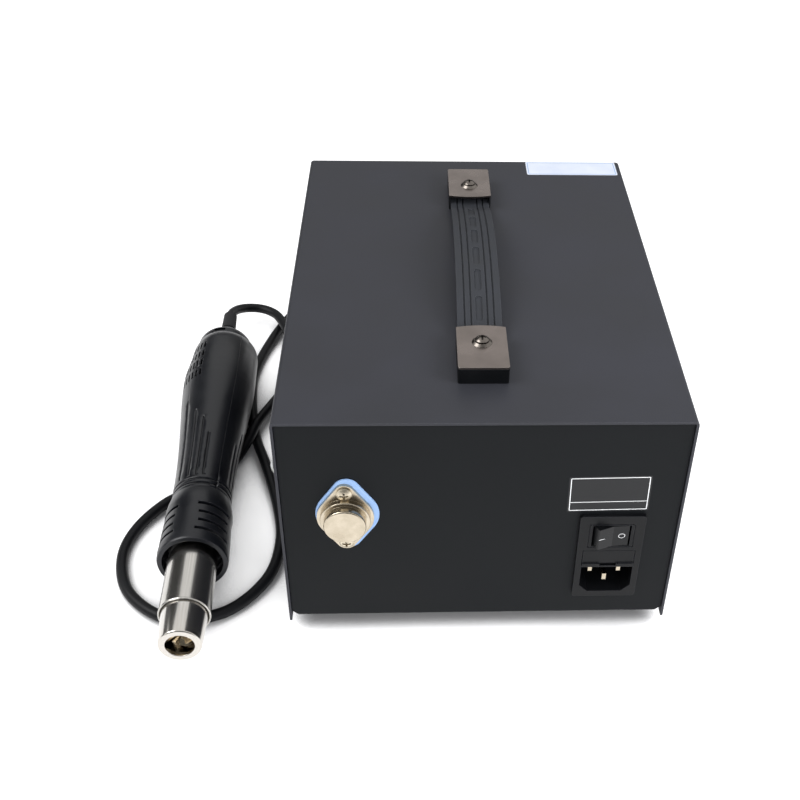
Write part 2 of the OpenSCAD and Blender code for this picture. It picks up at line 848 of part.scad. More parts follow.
module power_rocker() color("#1f2023") in_frame()
  on_rear(inlet_x, inlet_z)
    translate([0, main_rocker_y, 0])
      rocker(main_rocker, 1);

// Drawer between the switch and the blades: a front with a finger ledge, and a tray for the fuse
module fuse_drawer() color("#242528") in_frame()
  on_rear(inlet_x, inlet_z)
    translate([0, drawer_y, 0])
      difference() {
        union() {
          translate([-drawer[0] / 2 + fit_gap, -drawer[1] / 2 + fit_gap, inlet_t - drawer_d + 1])
            cube([drawer[0] - 2 * fit_gap, drawer[1] - 2 * fit_gap, drawer_d - 1]);
          translate([-drawer[0] / 2 + fit_gap, -drawer[1] / 2 + fit_gap, inlet_t - eps])
            cube([drawer[0] - 2 * fit_gap, 1.6, 0.7]);
        }
        translate([0, fuse_y + drawer[1] / 2, inlet_t - fuse_in])
          cube([fuse_len, drawer[1], 2 * fuse_r], center = true);
        translate([0, fuse_y, inlet_t - fuse_in])
          rotate([0, 90, 0])
            cylinder(h = fuse_len, r = fuse_r, center = true);
        translate([-4, -drawer[1] / 2, inlet_t - 1])
          cube([8, 2.2, 3]);
      }

// Glass fuse, lying across the drawer
module fuse() color("#cfd4d6") in_frame()
  on_rear(inlet_x, inlet_z)
    translate([-fuse_len / 2, drawer_y + fuse_y, inlet_t - fuse_in])
      rotate([0, 90, 0]) {
        cylinder(h = fuse_len, r = fuse_r - fit_gap);
        for (z = [0, fuse_len - fuse_end])
          translate([0, 0, z])
            cylinder(h = fuse_end, r = fuse_r);
      }

// Thin printed plate over the front panel
module front_overlay() color("#2a2c30") in_frame() difference() {
  on_front(0, (foot_h + roof_z) / 2)
    linear_extrude(overlay_t)
      box([2 * (chassis_x - overlay_edge), roof_z - foot_h - 2 * overlay_edge - fold_r], 2);
  front_holes();
}

module display_windows() color("#4a1214") in_frame()
  for (x = groups)
    on_front(x, display_z) {
      translate([0, 0, -sheet_t])
        linear_extrude(sheet_t + overlay_t)
          square(window, center = true);
      translate([0, 0, -sheet_t - window_t])
        linear_extrude(window_t)
          square([window[0] + 2 * window_lip, window[1] + 2 * window_lip], center = true);
    }

// Three-digit modules on the front board, close behind the windows
module display_modules() color("#202124") in_frame()
  for (x = groups)
    on_front(x, display_z)
      translate([0, 0, -board_in + board_t])
        linear_extrude(board_in - board_t - sheet_t - window_t - fit_gap)
          square(module_size, center = true);

module front_board() color("#1f5a36") in_frame()
  on_front(0, (front_board_z[0] + front_board_z[1]) / 2)
    translate([0, 0, -board_in])
      linear_extrude(board_t)
        difference() {
          square([front_board_w, front_board_z[1] - front_board_z[0]], center = true);
          for (x = [-1, 1], y = [-1, 1])
            translate([x * front_post_x, y * ((front_board_z[1] - front_board_z[0]) / 2 - front_post_in)])
              circle(screw_r + run_gap);
        }

module front_standoffs() color("#c8b27a") in_frame()
  for (x = [-1, 1], z = [front_board_z[0] + front_post_in, front_board_z[1] - front_post_in])
    on_front(x * front_post_x, z) {
      translate([0, 0, -board_in + board_t])
        cylinder(h = board_in - board_t - sheet_t, r = front_post_r);
      translate([0, 0, -board_in])
        mirror([0, 0, 1])
          screw(screw_r, board_t, head_r - 0.5, head_h - 0.4);
    }

// Control potentiometers on the front board, with shafts that carry the knobs
module potentiometers() color("#a9acb0") in_frame()
  for (x = knob_places)
    on_front(x, knob_z) {
      translate([0, 0, -board_in + board_t])
        cylinder(h = board_in - board_t - sheet_t - fit_gap, r = pot_r);
      cylinder(h = 2 * overlay_t + 2 * sheet_t, r = pot_bush_r, center = true);
      cylinder(h = pot_shaft_out, r = pot_shaft_r);
    }

// Fluted knob with a pointer rib, its bore blind from behind
module knob() {
  difference() {
    union() {
      cylinder(h = 2, r = knob_r + 0.8);
      cylinder(h = knob_h, r1 = knob_r, r2 = knob_r - 0.8);
    }
    for (i = [0 : knob_flutes - 1])
      rotate([0, 0, i * 360 / knob_flutes])
        translate([knob_r + 0.15, 0, 2.6])
          cylinder(h = knob_h, r = 0.75);
    translate([0, 0, -1])
      cylinder(h = pot_shaft_out - overlay_t + 1, r = pot_shaft_r + run_gap);
    translate([-0.4, knob_r * 0.3, knob_h - 0.6])
      cube([0.8, knob_r, 1]);
    translate([0, 0, -1])
      cylinder(h = 1 + sheet_t, r = pot_bush_r + fit_gap);
  }
}

module place_knob(i) in_frame()
  on_front(knob_places[i], knob_z)
    translate([0, 0, overlay_t + fit_gap])
      knob();

module knob_air_flow() color("#222327") place_knob(0);
module knob_air_heat() color("#222327") place_knob(1);
module knob_iron_heat() color("#222327") place_knob(2);
module knob_volts() color("#222327") place_knob(3);
module knob_amps() color("#222327") place_knob(4);

// Snap-in frames of the three front switches
module switch_frames() color("#1b1c1f") in_frame()
  for (x = groups)
    on_front(x, switch_z)
      difference() {
        union() {
          translate([0, 0, overlay_t])
            linear_extrude(frame_t)
              box([front_rocker[0] + 2 * frame_lip, front_rocker[1] + 2 * frame_lip], 1);
          translate([0, 0, overlay_t - frame_d / 2])
            cube([front_rocker[0] + 2 * frame_wall, front_rocker[1] + 2 * frame_wall, frame_d + eps], center = true);
        }
        rocker_well(front_rocker, overlay_t + frame_t);
      }

module rocker_air() color("#b3261e") in_frame()
  on_front(groups[2], switch_z)
    rocker(front_rocker, 1);
module rocker_iron() color("#b3261e") in_frame()
  on_front(groups[1], switch_z)
    rocker(front_rocker, 1);
module rocker_supply() color("#b3261e") in_frame()
  on_front(groups[0], switch_z)
    rocker(front_rocker, 1);

// Round metal socket for the iron, with its nut and a lip in front of the panel
module iron_socket() color("#b9bbbd") in_frame()
  on_front(0, socket_z)
    difference() {
      union() {
        translate([0, 0, -12])
          cylinder(h = 12 + overlay_t + socket_out, r = socket_r);
        translate([0, 0, overlay_t])
          cylinder(h = 2, r = socket_r + 2);
        translate([0, 0, -sheet_t - 2.5])
          cylinder(h = 2.5, r = socket_r + 3, $fn = 6);
      }
      translate([0, 0, -8])
        cylinder(h = 30, r = socket_in_r);
      translate([0, socket_in_r, overlay_t + socket_out])
        cube([2, 3, 8], center = true);
    }

// Insulator and five contacts at the bottom of the iron socket
module iron_socket_insert() color("#2b2b2e") in_frame()
  on_front(0, socket_z) {
    translate([0, 0, -8])
      cylinder(h = 5, r = socket_in_r);
    for (i = [0 : 4])
      rotate([0, 0, 54 + i * 72])
        translate([socket_in_r * 0.62, 0, -8])
          cylinder(h = 12, r = 0.8);
  }

module at_posts()
  for (side = [-1, 1])
    on_front(-group_x + side * post_pitch / 2, socket_z)
      children();

// Brass studs of the binding posts, bored for a 4 mm plug, with a nut behind the panel
module post_studs() color("#c9a24a") in_frame()
  at_posts()
    difference() {
      union() {
        translate([0, 0, -14])
          cylinder(h = 14 + post_out, r = post_r);
        translate([0, 0, -sheet_t - post_collar_t / 2 - 3])
          cylinder(h = 3, r = 2 * post_r, $fn = 6);
      }
      translate([0, 0, post_out - post_bore_len])
        cylinder(h = post_bore_len + 1, r = post_bore_r);
    }

// Insulating collars on both sides of the panel
module post_collars() color("#1c1c1e") in_frame()
  at_posts()
    difference() {
      union() {
        translate([0, 0, overlay_t])
          cylinder(h = post_collar_t, r = post_collar_r);
        translate([0, 0, -sheet_t - post_collar_t / 2])
          cylinder(h = post_collar_t / 2, r = post_collar_r);
      }
      translate([0, 0, -10])
        cylinder(h = 20, r = post_r);
    }

module post_cap() {
  from = overlay_t + post_collar_t + fit_gap;
  difference() {
    translate([0, 0, from])
      cylinder(h = post_out + 1.5 - from, r = post_cap_r);
    translate([0, 0, from - 1])
      cylinder(h = post_out - from + 1 + 0.3, r = post_r + run_gap);
    translate([0, 0, post_out])
      cylinder(h = 5, r = post_mouth_r);
    for (i = [0 : 11])
      rotate([0, 0, i * 30])
        translate([post_cap_r + 0.4, 0, from + 1.5])
          cylinder(h = 30, r = 0.9);
  }
}

module post_cap_red() color("#a51d1d") in_frame()
  on_front(-group_x - post_pitch / 2, socket_z)
    post_cap();
module post_cap_black() color("#1a1a1c") in_frame()
  on_front(-group_x + post_pitch / 2, socket_z)
    post_cap();

// Tapered, ribbed bush where the gun's cord enters the front panel
module gun_gland() color("#1a1a1c") in_frame()
  on_front(gland_x, socket_z)
    rotate_extrude()
      difference() {
        union() {
          translate([0, -sheet_t - 4])
            square([gland_body_r, sheet_t + 4 + overlay_t]);
          translate([0, -sheet_t - 3.2])
            square([gland_body_r + 1.8, 3.2]);
          translate([0, overlay_t])
            square([gland_body_r + 3, 2.4]);
          polygon([
            [0, overlay_t], [gland_body_r + 0.6, overlay_t],
            [gland_tip_r, overlay_t + gland_len], [0, overlay_t + gland_len]
          ]);
        }
        for (i = [1 : 4])
          translate([lerp(gland_body_r, gland_tip_r, i / 5), overlay_t + 2.4 + i * 3.2])
            square([2, 1.4]);
      }

module board_outline() {
  difference() {
    square([board[0], board[1]], center = true);
    for (x = [-1, 1], y = [-1, 1])
      translate([x * (board[0] / 2 - 5), y * (board[1] / 2 - 5)])
        circle(screw_r + run_gap);
  }
}

module main_board() color("#1f5a36") in_frame()
  translate([0, board_y, board_z])
    linear_extrude(board_t)
      board_outline();

module board_standoffs() color("#c8b27a") in_frame()
  for (x = [-1, 1], y = [-1, 1])
    translate([x * (board[0] / 2 - 5), board_y + y * (board[1] / 2 - 5), deck_z]) {
      cylinder(h = post_h, r = front_post_r);
      translate([0, 0, post_h + board_t])
        screw(screw_r, board_t, head_r - 0.5, head_h - 0.4);
      translate([0, 0, -sheet_t])
        mirror([0, 0, 1])
          screw(screw_r, sheet_t, head_r - 0.5, head_h - 0.4);
    }

module capacitors() color("#27324d") in_frame()
  for (x = cap_big_x)
    translate([x, board_y - cap_big_y, board_z + board_t])
      rotate_extrude() {
        square([cap_big_r, cap_big_h - 1]);
        square([cap_big_r - 1, cap_big_h]);
        translate([cap_big_r - 1, cap_big_h - 1])
          circle(1);
      }

// Finned aluminium block with the heater's switching device on its face
module heat_sink() color("#9fa3a8") in_frame()
  translate([sink_x, board_y - sink_y, board_z + board_t]) {
    linear_extrude(sink_h)
      union() {
        translate([-28, 0])
          square([56, 4]);
        for (i = [0 : 7])
          translate([-28 + i * 7.7, 0])
            square([2, 16]);
      }
    translate([-5, -4.5, 8])
      cube([10, 4.6, 16]);
  }

// Laminated core with two windows
module transformer_core() color("#6d6f72") in_frame()
  translate([core_x, core_y, deck_z + frame_strap_t])
    difference() {
      translate([-core[0] / 2, -core[1] / 2, 0])
        cube(core);
      for (x = [-1, 1])
        translate([x * (leg_w + core_gap) / 2, 0, core[2] / 2])
          cube([core_gap, core[1] + 2, core[2] - 2 * yoke_h], center = true);
    }

// Winding on the middle leg, standing out at both faces of the core
module transformer_winding() color("#c7a54a") in_frame()
  translate([core_x, core_y, deck_z + frame_strap_t + yoke_h])
    linear_extrude(core[2] - 2 * yoke_h)
      difference() {
        box([leg_w + 2 * core_gap - 1, core[1] + 2 * coil_out], 4);
        square([leg_w, core[1]], center = true);
      }

// Steel frame folded over the core, with two feet screwed to the floor
module transformer_frame() color("#8d9094") in_frame()
  translate([core_x, core_y, deck_z]) {
    difference() {
      union() {
        translate([-core[0] / 2 - frame_strap_t, -core[1] / 2, 0])
          cube([core[0] + 2 * frame_strap_t, core[1], core[2] + 2 * frame_strap_t]);
        translate([-core[0] / 2 - 14, -core[1] / 4, 0])
          cube([core[0] + 28, core[1] / 2, frame_strap_t]);
      }
      translate([-core[0] / 2, -core[1] / 2 - 1, frame_strap_t])
        cube([core[0], core[1] + 2, core[2]]);
    }
    for (x = [-1, 1])
      translate([x * (core[0] / 2 + 8), 0, frame_strap_t])
        screw(screw_r, frame_strap_t, head_r, head_h);
  }

// Profile of the handle's wall, with ribs inside that hold the barrel's flange and the fan
module handle_wall() {
  round_at = lerp(bulge_at, shell_back, round_from);
  steps = concat(
    [for (i = [0 : 17]) lerp(shell_front, round_at, i / 17)],
    [for (i = [1 : 7]) lerp(round_at, shell_back, i / 7)]
  );
  polygon(concat(
    [for (s = steps) [handle_r(s), s]],
    [for (i = [len(steps) - 1 : -1 : 0]) [shell_in(steps[i]), steps[i]]]
  ));
  translate([barrel_r + run_gap, flange_at - flange_t])
    square([waist_r - shell_t / 2 - barrel_r, flange_t]);
  translate([barrel_r + run_gap, flange_at + flange_t])
    square([waist_r - shell_t / 2 - barrel_r, flange_t]);
  translate([shell_in(duct_from) - rib_h, duct_from - rib_h])
    square([rib_h + shell_t / 2, rib_h]);
}

// One half of the handle, from the seam at this angle round to the other seam, with its screw posts
module handle_half(from) {
  rotate([0, 0, from + seam_gap])
    rotate_extrude(angle = 180 - 2 * seam_gap)
      handle_wall();
  for (s = boss_at)
    across_gun(s, from + 90)
      cylinder(h = shell_in(s) + shell_t / 2, r = boss_r);
}

// Place a shape on the gun's axis, its own Z pointing out at this angle
module across_gun(s, angle)
  translate([0, 0, s])
    rotate([0, 0, angle])
      rotate([0, 90, 0])
        children();

// Long shallow grooves along the waist
module handle_grooves()
  for (g = long_grooves, a = [g[0], 2 * seam_angle - g[0] - groove_angle])
    rotate([0, 0, a])
      rotate_extrude(angle = groove_angle)
        polygon(concat(
          [for (i = [0 : 8]) [handle_r(groove_s(g, i)) - slot_groove, groove_s(g, i)]],
          [for (i = [8 : -1 : 0]) [handle_r(groove_s(g, i)) + 2, groove_s(g, i)]]
        ));

function groove_s(g, i) = lerp(119, g[1], i / 8);

// Two rings round the front end of the handle
module handle_rings()
  for (s = [105.5, 114])
    rotate_extrude()
      translate([handle_r(s) - slot_groove, s])
        square([3, 1.4]);

// Rows of air slots at the back of the left shell
module air_slots()
  for (row = [0 : air_rows - 1], slot = [0 : air_row_slots - 1])
    rotate([0, 0, air_turn - row * air_turn_pitch])
      translate([bulge_r, 0, air_at + slot * air_pitch])
        cube([14, air_w, air_len], center = true);

module gun_shell_left() color("#2c2e32") in_frame() on_gun() difference() {
  handle_half(seam_angle - 180);
  handle_grooves();
  handle_rings();
  air_slots();
  for (s = boss_at)
    across_gun(s, seam_angle - 90)
      translate([0, 0, -1])
        cylinder(h = 2 * head_deep + 1, r = screw_r);
}

module gun_shell_right() color("#2c2e32") in_frame() on_gun() difference() {
  handle_half(seam_angle);
  handle_grooves();
  handle_rings();
  for (s = boss_at)
    across_gun(s, seam_angle + 90) {
      translate([0, 0, -1])
        cylinder(h = 2 * bulge_r, r = screw_r + run_gap);
      translate([0, 0, handle_r(s) - head_deep])
        cylinder(h = 2 * head_deep, r = head_r);
    }
}

// Screws that draw the two shells together
module gun_screws() color("#3a3b3d") in_frame() on_gun()
  for (s = boss_at)
    across_gun(s, seam_angle + 90)
      translate([0, 0, handle_r(s) - head_deep])
        screw(screw_r, handle_r(s) + 2, head_r - 2 * run_gap, head_h);

// Point of the collar's wall, thinner by the given amount
function collar_point(p, thinner) = [
  lerp(collar_r, waist_r + fit_gap, p[1]) - thinner,
  lerp(collar_front, collar_back, p[0])
];

// Grip ring in front of the handle, slotted, and open at the front round the barrel
module gun_collar() color("#242629") in_frame() on_gun() difference() {
  rotate_extrude() {
    polygon(concat(
      [for (p = collar_shape) collar_point(p, 0)],
      [for (i = [len(collar_shape) - 1 : -1 : 0]) collar_point(collar_shape[i], shell_t)]
    ));
    translate([barrel_r, collar_back - shell_t])
      square([waist_r - shell_t / 2 - barrel_r, shell_t]);
  }
  for (middle = [29, 130, 225, 309], slot = [[74, 66], [80, 58], [86, 60], [92, 66]])
    ring_sector(barrel_r + 0.5, collar_r + 3, slot[0], slot[0] + 1.5, middle - slot[1] / 2, slot[1]);
}

// Plug in the rear end of the handle, a step below its rim, bored for the cord's relief, with a
// slot for a hook
module gun_end_cap() color("#232528") in_frame() on_gun() difference() {
  spigot_r = back_r - shell_t - run_gap;
  rotate_extrude()
    polygon([
      [spigot_r - plug_t, shell_back - spigot_len], [spigot_r, shell_back - spigot_len],
      [spigot_r, shell_back], [plug_r, shell_back],
      [plug_r, shell_back + 0.4 * plug_len], [plug_r - 0.3, shell_back + 0.6 * plug_len],
      [plug_r - 1, shell_back + 0.76 * plug_len], [plug_r - 2.1, shell_back + 0.88 * plug_len],
      [plug_r - 3.7, shell_back + 0.95 * plug_len], [plug_r - 6, cap_back], [relief_r, cap_back],
      [relief_r, cap_back - plug_end_t], [plug_r - 6, cap_back - plug_end_t],
      [plug_r - plug_t - 0.6, cap_back - 1.6 * plug_end_t], [plug_r - plug_t - 0.6, shell_back + 0.2 * plug_len],
      [spigot_r - plug_t, shell_back]
    ]);
  rotate([0, 0, hook_turn])
    translate([plug_r, 0, shell_back + 0.4 * plug_len])
      cube(hook_slot, center = true);
}

// Tapered, ringed relief of the gun's cord, with a flange inside the end cap
module gun_relief() color("#1c1d1f") in_frame() on_gun() rotate_extrude() difference() {
  union() {
    translate([0, cap_back - plug_end_t - flange_t])
      square([relief_r + 1.8, flange_t]);
    translate([0, cap_back - plug_end_t - flange_t])
      square([relief_r, flange_t + plug_end_t]);
    polygon([[0, cap_back], [relief_r, cap_back], [relief_tip_r, relief_end], [0, relief_end]]);
  }
  for (s = [3.8 : 3 : 15.8])
    translate([lerp(relief_r, relief_tip_r, s / (relief_end - cap_back)) - 0.7, cap_back + s])
      square([2, 1.3]);
}

// Steel heater tube: a rolled lip and a bored ring for the nozzle in front, a flange in the handle
module gun_barrel() color("#c6c5c2") in_frame() on_gun() rotate_extrude() {
  translate([barrel_r - wall_thin, nozzle_out])
    square([wall_thin, barrel_back - nozzle_out]);
  translate([barrel_r - wall_thin / 2, nozzle_out + lip_r])
    circle(lip_r);
  translate([nozzle_r + run_gap, nozzle_out + 2.5])
    square([barrel_r - wall_thin / 2 - nozzle_r - run_gap, 1]);
  translate([barrel_r - wall_thin, flange_at])
    square([waist_r - shell_t - fit_gap / 2 - barrel_r + wall_thin, flange_t]);
}

// Mica tube, ceramic cross and the turns of heater wire round it
module gun_heater() color("#cfc7b8") in_frame() on_gun()
  translate([0, 0, heater_from]) {
    difference() {
      cylinder(h = heater_len, r = barrel_r - wall_thin);
      translate([0, 0, -1])
        cylinder(h = heater_len + 2, r = barrel_r - 2 * wall_thin);
    }
    intersection() {
      cylinder(h = heater_len, r = barrel_r - 1.5 * wall_thin);
      linear_extrude(heater_len)
        for (a = [0, 90])
          rotate([0, 0, a])
            square([2 * barrel_r, 2], center = true);
    }
    for (i = [1 : 7])
      translate([0, 0, i * heater_len / 8])
        rotate_extrude()
          translate([barrel_r - 5, 0])
            circle(0.5);
  }

// Nozzle tube with an inward lip round its opening
module gun_nozzle() color("#d4d2ce") in_frame() on_gun() rotate_extrude() {
  translate([nozzle_r - wall_thin, lip_r])
    square([wall_thin, nozzle_back - lip_r]);
  translate([nozzle_hole_r, 0])
    square([nozzle_r - nozzle_hole_r - lip_r, 2 * lip_r]);
  translate([nozzle_r - lip_r, lip_r])
    circle(lip_r);
}

// Tilted plates and a disc in the nozzle's mouth, on a thin ring against the tube
module nozzle_vanes() color("#8f7f63") in_frame() on_gun()
  translate([0, 0, vanes_from]) {
    difference() {
      cylinder(h = vanes_len, r = nozzle_r - wall_thin);
      translate([0, 0, -1])
        cylinder(h = vanes_len + 2, r = nozzle_r - 2 * wall_thin);
    }
    intersection() {
      cylinder(h = vanes_len, r = nozzle_r - 1.5 * wall_thin);
      for (i = [0 : 5])
        rotate([0, 0, i * 60 + 20])
          translate([nozzle_r / 2, 0, vanes_len / 2])
            rotate([40, 0, 0])
              cube([nozzle_r, 0.6, 2 * vanes_len], center = true);
    }
    translate([0, 0, vanes_len / 2])
      cylinder(h = 1, r = 3.5);
  }

// Fan motor in its duct: the duct ring stands against the rib of the shells
module fan_motor() color("#303236") in_frame() on_gun() {
  difference() {
    translate([0, 0, duct_from])
      cylinder(h = duct_to - duct_from, r = duct_r);
    translate([0, 0, duct_from - 1])
      cylinder(h = duct_to - duct_from + 2, r = duct_r - duct_t);
  }
  difference() {
    union() {
      translate([0, 0, duct_from])
        cylinder(h = motor_end - duct_from, r = motor_r);
      for (a = [0, 120, 240])
        rotate([0, 0, a])
          translate([0, -1.2, duct_from])
            cube([duct_r - duct_t / 2, 2.4, 3]);
    }
    translate([0, 0, motor_end - shaft_in])
      cylinder(h = shaft_in + 1, r = shaft_r + run_gap);
  }
}

// Fan rotor: hub, shaft and tilted blades
module fan_rotor() color("#1a1b1d") in_frame() on_gun() {
  rotor_r = duct_r - duct_t - 1.5 * fit_gap;
  translate([0, 0, rotor_from])
    cylinder(h = rotor_to - rotor_from, r = hub_r);
  translate([0, 0, motor_end - shaft_in + fit_gap])
    cylinder(h = rotor_from - motor_end + shaft_in, r = shaft_r);
  intersection() {
    translate([0, 0, rotor_from])
      cylinder(h = rotor_to - rotor_from, r = rotor_r);
    for (i = [0 : blade_count - 1])
      rotate([0, 0, i * 360 / blade_count])
        translate([hub_r + rotor_r / 2 - 1, 0, (rotor_from + rotor_to) / 2])
          rotate([blade_tilt, 0, 0])
            cube([rotor_r, 0.9, rotor_to - rotor_from], center = true);
  }
}

// Smooth curve through four route points
function bend(a, b, c, d, t) =
  0.5 * (2 * b + (c - a) * t + (2 * a - 5 * b + 4 * c - d) * t * t + (3 * b - a - 3 * c + d) * t * t * t);

function cord_point(k) =
  let (i = min(floor(k / 2), len(route) - 2), t = k / 2 - i)
  bend(route[max(i - 1, 0)], route[i], route[i + 1], route[min(i + 2, len(route) - 1)], t);

function unit(v) = v / norm(v);

// Direction of the cord at a ring; the ends stand square on the relief and on the gland
function cord_way(k) =
  k == 0 ? unit(gun_point(1) - gun_point(0))
  : k == cord_rings - 1 ? [0, 1, 0]
  : unit(cord_point(k + 0.2) - cord_point(k - 0.2));

// Side direction of each ring, level with the bench
function cord_side(k) = unit(cross([0, 0, 1], cord_way(k)));

// Flexible cord from the gun to the front panel
module gun_cord() color("#1b1c1e") in_frame() {
  points = [
    for (k = [0 : cord_rings - 1], a = [0 : cord_sides - 1])
      cord_point(k)
        + gun_cord_r * cos(a * 360 / cord_sides) * cord_side(k)
        + gun_cord_r * sin(a * 360 / cord_sides) * cross(cord_way(k), cord_side(k))
  ];
  sides = [
    for (k = [0 : cord_rings - 2], a = [0 : cord_sides - 1])
      let (b = (a + 1) % cord_sides, p = k * cord_sides, q = (k + 1) * cord_sides)
      each [[p + a, q + a, p + b], [p + b, q + a, q + b]]
  ];
  ends = [
    [for (a = [0 : cord_sides - 1]) a],
    [for (a = [cord_sides - 1 : -1 : 0]) (cord_rings - 1) * cord_sides + a]
  ];
  polyhedron(points = points, faces = concat(sides, ends), convexity = 10);
}

cover();
chassis();
feet();
foot_screws();
cover_screws();
holder_screws();
handle_bases();
handle_caps();
handle_strap();
handle_screws();
transistor_pad();
power_transistor();
transistor_screws();
inlet_housing();
inlet_pins();
power_rocker();
fuse_drawer();
fuse();
front_overlay();
display_windows();
display_modules();
front_board();
front_standoffs();
potentiometers();
knob_air_flow();
knob_air_heat();
knob_iron_heat();
knob_volts();
knob_amps();
switch_frames();
rocker_air();
rocker_iron();
rocker_supply();
iron_socket();
iron_socket_insert();
post_studs();
post_collars();
post_cap_red();
post_cap_black();
gun_gland();
main_board();
board_standoffs();
capacitors();
heat_sink();
transformer_core();
transformer_winding();
transformer_frame();
gun_shell_left();
gun_shell_right();
gun_collar();
gun_end_cap();
gun_relief();
gun_screws();
gun_barrel();
gun_heater();
gun_nozzle();
nozzle_vanes();
fan_motor();
fan_rotor();
gun_cord();
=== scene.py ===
import json
import math
import bmesh
import bpy
from mathutils import Matrix, Vector
from mathutils.bvhtree import BVHTree


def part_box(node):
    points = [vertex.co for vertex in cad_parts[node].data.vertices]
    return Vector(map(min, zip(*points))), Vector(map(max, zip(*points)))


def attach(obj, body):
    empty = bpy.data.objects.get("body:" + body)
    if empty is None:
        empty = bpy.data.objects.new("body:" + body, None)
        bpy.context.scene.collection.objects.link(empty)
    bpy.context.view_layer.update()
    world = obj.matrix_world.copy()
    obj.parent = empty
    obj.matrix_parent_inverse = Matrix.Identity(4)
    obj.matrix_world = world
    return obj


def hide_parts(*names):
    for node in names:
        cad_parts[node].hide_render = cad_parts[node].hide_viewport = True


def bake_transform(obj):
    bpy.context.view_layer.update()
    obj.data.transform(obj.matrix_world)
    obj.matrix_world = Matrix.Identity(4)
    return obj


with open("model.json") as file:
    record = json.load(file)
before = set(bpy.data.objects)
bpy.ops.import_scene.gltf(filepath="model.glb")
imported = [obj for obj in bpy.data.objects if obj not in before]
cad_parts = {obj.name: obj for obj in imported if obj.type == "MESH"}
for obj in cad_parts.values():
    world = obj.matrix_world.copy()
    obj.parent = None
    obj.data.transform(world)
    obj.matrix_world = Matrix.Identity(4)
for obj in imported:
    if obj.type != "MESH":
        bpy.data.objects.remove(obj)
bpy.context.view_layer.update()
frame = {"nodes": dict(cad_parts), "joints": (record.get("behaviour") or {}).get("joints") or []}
nodes = frame["nodes"]
joints = {joint["name"]: joint for joint in frame["joints"]}
print("frame loaded:", len(nodes), "pieces")

mm = 0.001

# Places on the station are given from the middle of its case, in millimetres
coverLow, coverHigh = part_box("cover")
caseMiddle = Vector(((coverLow.x + coverHigh.x) / 2, (coverLow.y + coverHigh.y) / 2, 0))


def spot(x, y, z):
    return caseMiddle + Vector((x, y, z)) * mm


def reach(node, direction):
    return max(vertex.co.dot(direction) for vertex in nodes[node].data.vertices)


def newObject(name, data):
    thing = bpy.data.objects.new(name, data)
    bpy.context.scene.collection.objects.link(thing)
    return thing


# The hot-air gun's own axes: back along it, to its left and up, from the nozzle's front face
gunAhead = Vector(joints["fan_spin"]["axis"]).normalized()
gunBack = -gunAhead
gunLeft = Vector((0, 0, 1)).cross(gunBack).normalized()
gunUp = gunBack.cross(gunLeft)
gunAxisPoint = Vector(joints["fan_spin"]["pos_m"])


def onGunAxis(along):  # point of the axis that lies this far along gunAhead
    return gunAxisPoint + gunAhead * (along - gunAxisPoint.dot(gunAhead))


nozzleFace = onGunAxis(reach("gun_nozzle", gunAhead))
reliefTip = onGunAxis(-reach("gun_relief", gunBack))
gunTurn = Matrix((gunLeft, gunUp, gunBack)).transposed()


# Camera

photoCamera = {  # roll in degrees, clip in metres
    "place": (30.07, 497.52, 443.5),
    "aim": (-0.05034, -0.78642, -0.61563),
    "roll": 2.06,
    "lens": 50.51,
    "shift": (-0.09185, -0.0095),
    "clip": (0.01, 20),
}


def makeCamera(look):
    data = bpy.data.cameras.new("photoCamera")
    data.lens = look["lens"]
    data.shift_x, data.shift_y = look["shift"]
    data.clip_start, data.clip_end = look["clip"]
    camera = newObject("photoCamera", data)
    level = Vector(look["aim"]).to_track_quat("-Z", "Y").to_matrix()
    turned = level @ Matrix.Rotation(math.radians(look["roll"]), 3, "Z")
    camera.matrix_world = Matrix.Translation(spot(*look["place"])) @ turned.to_4x4()
    bpy.context.scene.camera = camera


makeCamera(photoCamera)
print("camera placed")


# Mesh and node helpers

softAngle = 35  # edges that bend less than this are shaded smooth
weldReach = 1e-7  # corners closer than this, in metres, are one


def linear(code):  # sRGB hex to linear light
    parts = [int(code[i:i + 2], 16) / 255 for i in (1, 3, 5)]
    return [p / 12.92 if p <= 0.04045 else ((p + 0.055) / 1.055) ** 2.4 for p in parts] + [1]


def perMm(size):  # pattern scale for a feature of this many millimetres
    return 1 / (size * mm)


def addNode(tree, kind, settings={}):  # values, and what to link: an output, or a node for its first output
    node = tree.nodes.new(kind)
    for key, value in settings.items():
        if isinstance(value, bpy.types.Node):
            value = value.outputs[0]
        if isinstance(value, bpy.types.NodeSocket):
            tree.links.new(value, node.inputs[key])
        elif isinstance(key, str) and hasattr(node, key):
            setattr(node, key, value)
        else:
            node.inputs[key].default_value = value
    return node


def newMaterial(name):
    material = bpy.data.materials.new(name)
    material.use_nodes = True
    tree = material.node_tree
    place = addNode(tree, "ShaderNodeTexCoord").outputs["Object"]
    return material, tree, tree.nodes["Principled BSDF"], place


def emptyTree(owner):  # of a material or a world
    owner.use_nodes = True
    owner.node_tree.nodes.clear()
    return owner.node_tree


def rectangle(width, height):  # corners round the middle
    x, y = width / 2, height / 2
    return [(-x, -y), (x, -y), (x, y), (-x, y)]


def mergedCopy(node):  # a frame piece's mesh is loose triangles, so its copy is merged
    shape = bmesh.new()
    shape.from_mesh(nodes[node].data)
    bmesh.ops.remove_doubles(shape, verts=shape.verts, dist=weldReach)
    return shape


def meshFrom(shape, name):
    mesh = bpy.data.meshes.new(name)
    shape.to_mesh(mesh)
    shape.free()
    return mesh


def finalMesh(holder):  # what its modifiers or its text make of it; the holder goes
    bpy.context.view_layer.update()
    mesh = bpy.data.meshes.new_from_object(holder.evaluated_get(bpy.context.evaluated_depsgraph_get()))
    bpy.data.objects.remove(holder)
    return mesh


